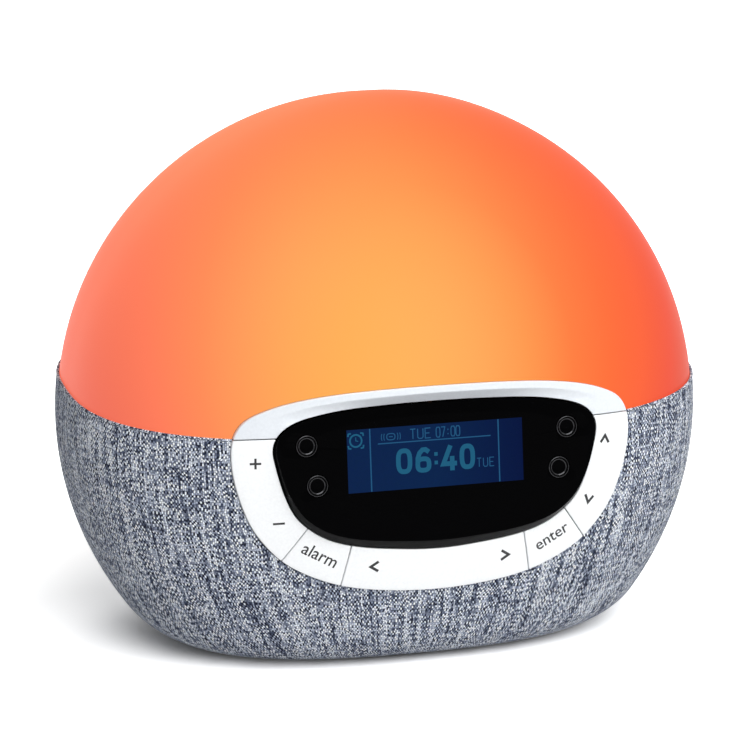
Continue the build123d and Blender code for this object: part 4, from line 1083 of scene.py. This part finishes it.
# ---------------------------------------------------------------- behind the keys
# A grey carrier plate with the rockers' pins, a hood against stray light, and the display
# board with a press switch behind each key.

wear(moulded("carrier grey", (0.09, 0.09, 0.095), 0.5, 0.6, 0.2), "key_carrier", "light_hood")
board_green = moulded("board green", (0.012, 0.09, 0.035), 0.3, 2.5, 0.1)
wear(board_green, "display_board", "main_board", "port_board")
chip_black = moulded("chip black", (0.012, 0.012, 0.013), 0.55, 0.3, 0.3)
wear(chip_black, "press_switches", "processor_chip", "driver_chips", "capacitors", "dc_jack")

# ---------------------------------------------------------------- rear panel and base inside
# The speaker sits behind the rear grille, beside the power inlet and the charging socket.
# The main board stands on the foot plate's columns, with its leads to lamps and speaker.

wear(moulded("speaker paint", (0.02, 0.02, 0.02), 0.4, 0.5, 0.2), "speaker_frame", "speaker_magnet")
wear(moulded("cone paper", (0.03, 0.03, 0.03), 0.9, 0.4, 0.6), "speaker_cone")
wear(metal("socket plating", (0.75, 0.75, 0.76), 0.22, 0.5), "usb_port")
wear(metal("coil copper", (0.75, 0.36, 0.2), 0.4, 0.3), "power_coils")
wear(metal("cell steel", (0.7, 0.7, 0.7), 0.25, 0.9), "backup_cell")
wear(moulded("plug cream", (0.72, 0.68, 0.58), 0.4, 0.5, 0.1), "cell_holder", "board_connectors")
wear(moulded("lead sleeve", (0.02, 0.02, 0.02), 0.5, 0.8, 0.1), "led_cable", "speaker_leads",
     "port_leads")
wear(moulded("ribbon grey", (0.4, 0.41, 0.43), 0.45, 0.9, 0.1), "display_ribbon")

# ---------------------------------------------------------------- floor, light and camera
# A plain white sweep of paper under soft studio light from the right and the front, seen from
# a little left of and above the clock's front.

SHADOW_REACH = (0.074, 0.044, 1)


def seen_plainly(tree):
    """One for the camera's rays and for reflected and refracted ones, nought for light."""
    rays = tree.nodes.new("ShaderNodeLightPath").outputs
    reflected = reckon(tree, "MAXIMUM", rays["Is Camera Ray"], rays["Is Glossy Ray"])
    return reckon(tree, "MAXIMUM", reflected, rays["Is Transmission Ray"])


deselect()
bpy.ops.mesh.primitive_plane_add(size=9, location=(0, 0, 0))
table = bpy.context.object
table.name = "floor"
paper, tree, shader = new_finish("white paper", Roughness=0.95, Specular_IOR_Level=0.0,
                                 Emission_Color=(1, 1, 1, 1))
seen = seen_plainly(tree)
# Away from the clock, painted light for the camera brightens the paper to white, so the cast shadow
# fades out close to the clock.
spread_out = reckon(tree, "DIVIDE", add(tree, "TexCoord", "Object"), SHADOW_REACH,
                    kind="VectorMath")
away = reckon(tree, "LENGTH", spread_out, kind="VectorMath", output="Value")
painted_light_away = add(tree, "MapRange", "Result", ("interpolation_type", "SMOOTHERSTEP"),
             Value=away, From_Min=0.8, From_Max=1.6, To_Max=0.4)
fill(tree, shader, Emission_Strength=reckon(tree, "MULTIPLY", seen, painted_light_away),
     Base_Color=blend(tree, seen, (0.78, 0.78, 0.78, 1), (1.3, 1.3, 1.3, 1)))
table.data.materials.append(paper)

world = bpy.data.worlds.new("studio")
bpy.context.scene.world = world
world.use_nodes = True
tree = world.node_tree
# Plain white where it is seen or reflected; as light, dimmer on the clock's left.
side = add(tree, "SeparateXYZ", "X", Vector=add(tree, "TexCoord", "Generated"))
dim_left = add(tree, "MapRange", "Result", Value=side, From_Min=-1, From_Max=0, To_Min=0.15,
               To_Max=0.32)
fill(tree, tree.nodes["Background"], Color=(1, 1, 1, 1),
     Strength=add(tree, "MapRange", "Result", To_Min=dim_left, Value=seen_plainly(tree)))


def soft_sun(name, turn, rise, spread, strength):
    """Even, distant light from a compass turn (0 is the front, right is positive) and height."""
    light = bpy.data.lights.new(name, "SUN")
    light.energy = strength * math.pi
    light.angle = math.radians(spread)
    lamp = bpy.data.objects.new(name, light)
    bpy.context.scene.collection.objects.link(lamp)
    turn, rise = math.radians(turn), math.radians(rise)
    out = Vector((math.sin(turn) * math.cos(rise), -math.cos(turn) * math.cos(rise),
                  math.sin(rise)))
    lamp.rotation_euler = out.to_track_quat("Z", "Y").to_euler()


soft_sun("main light", 60, 48, 60, 0.36)
soft_sun("front light", 2, 40, 40, 0.69)

SHOT = 750
VIEW_TURN, VIEW_RISE, VIEW_ROLL = math.radians(-16.379), math.radians(12.577), math.radians(-0.334)
VIEW_FAR = 1.2384
FOCUS = 3.03683 * VIEW_FAR / MM
AIM = Vector((0, -0.0007, 0.090))
AIM_AT = (375.46, 355.05)
back = Vector((math.sin(VIEW_TURN) * math.cos(VIEW_RISE),
               -math.cos(VIEW_TURN) * math.cos(VIEW_RISE), math.sin(VIEW_RISE)))
right_way = Vector((math.cos(VIEW_TURN), math.sin(VIEW_TURN), 0))
up_way = back.cross(right_way)
eye = bpy.data.cameras.new("camera")
eye.sensor_width = 36
eye.lens = FOCUS / SHOT * 36
eye.shift_x = -(AIM_AT[0] - SHOT / 2) / SHOT
eye.shift_y = (AIM_AT[1] - SHOT / 2) / SHOT
eye.clip_start, eye.clip_end = 0.05, 20
camera = bpy.data.objects.new("camera", eye)
bpy.context.scene.collection.objects.link(camera)
turned_frame = Matrix((right_way, up_way, back)).transposed().to_4x4()
camera.matrix_world = (Matrix.Translation(AIM + back * VIEW_FAR) @ turned_frame
                       @ Matrix.Rotation(VIEW_ROLL, 4, "Z"))
bpy.context.scene.camera = camera
bpy.context.scene.view_settings.view_transform = "Standard"
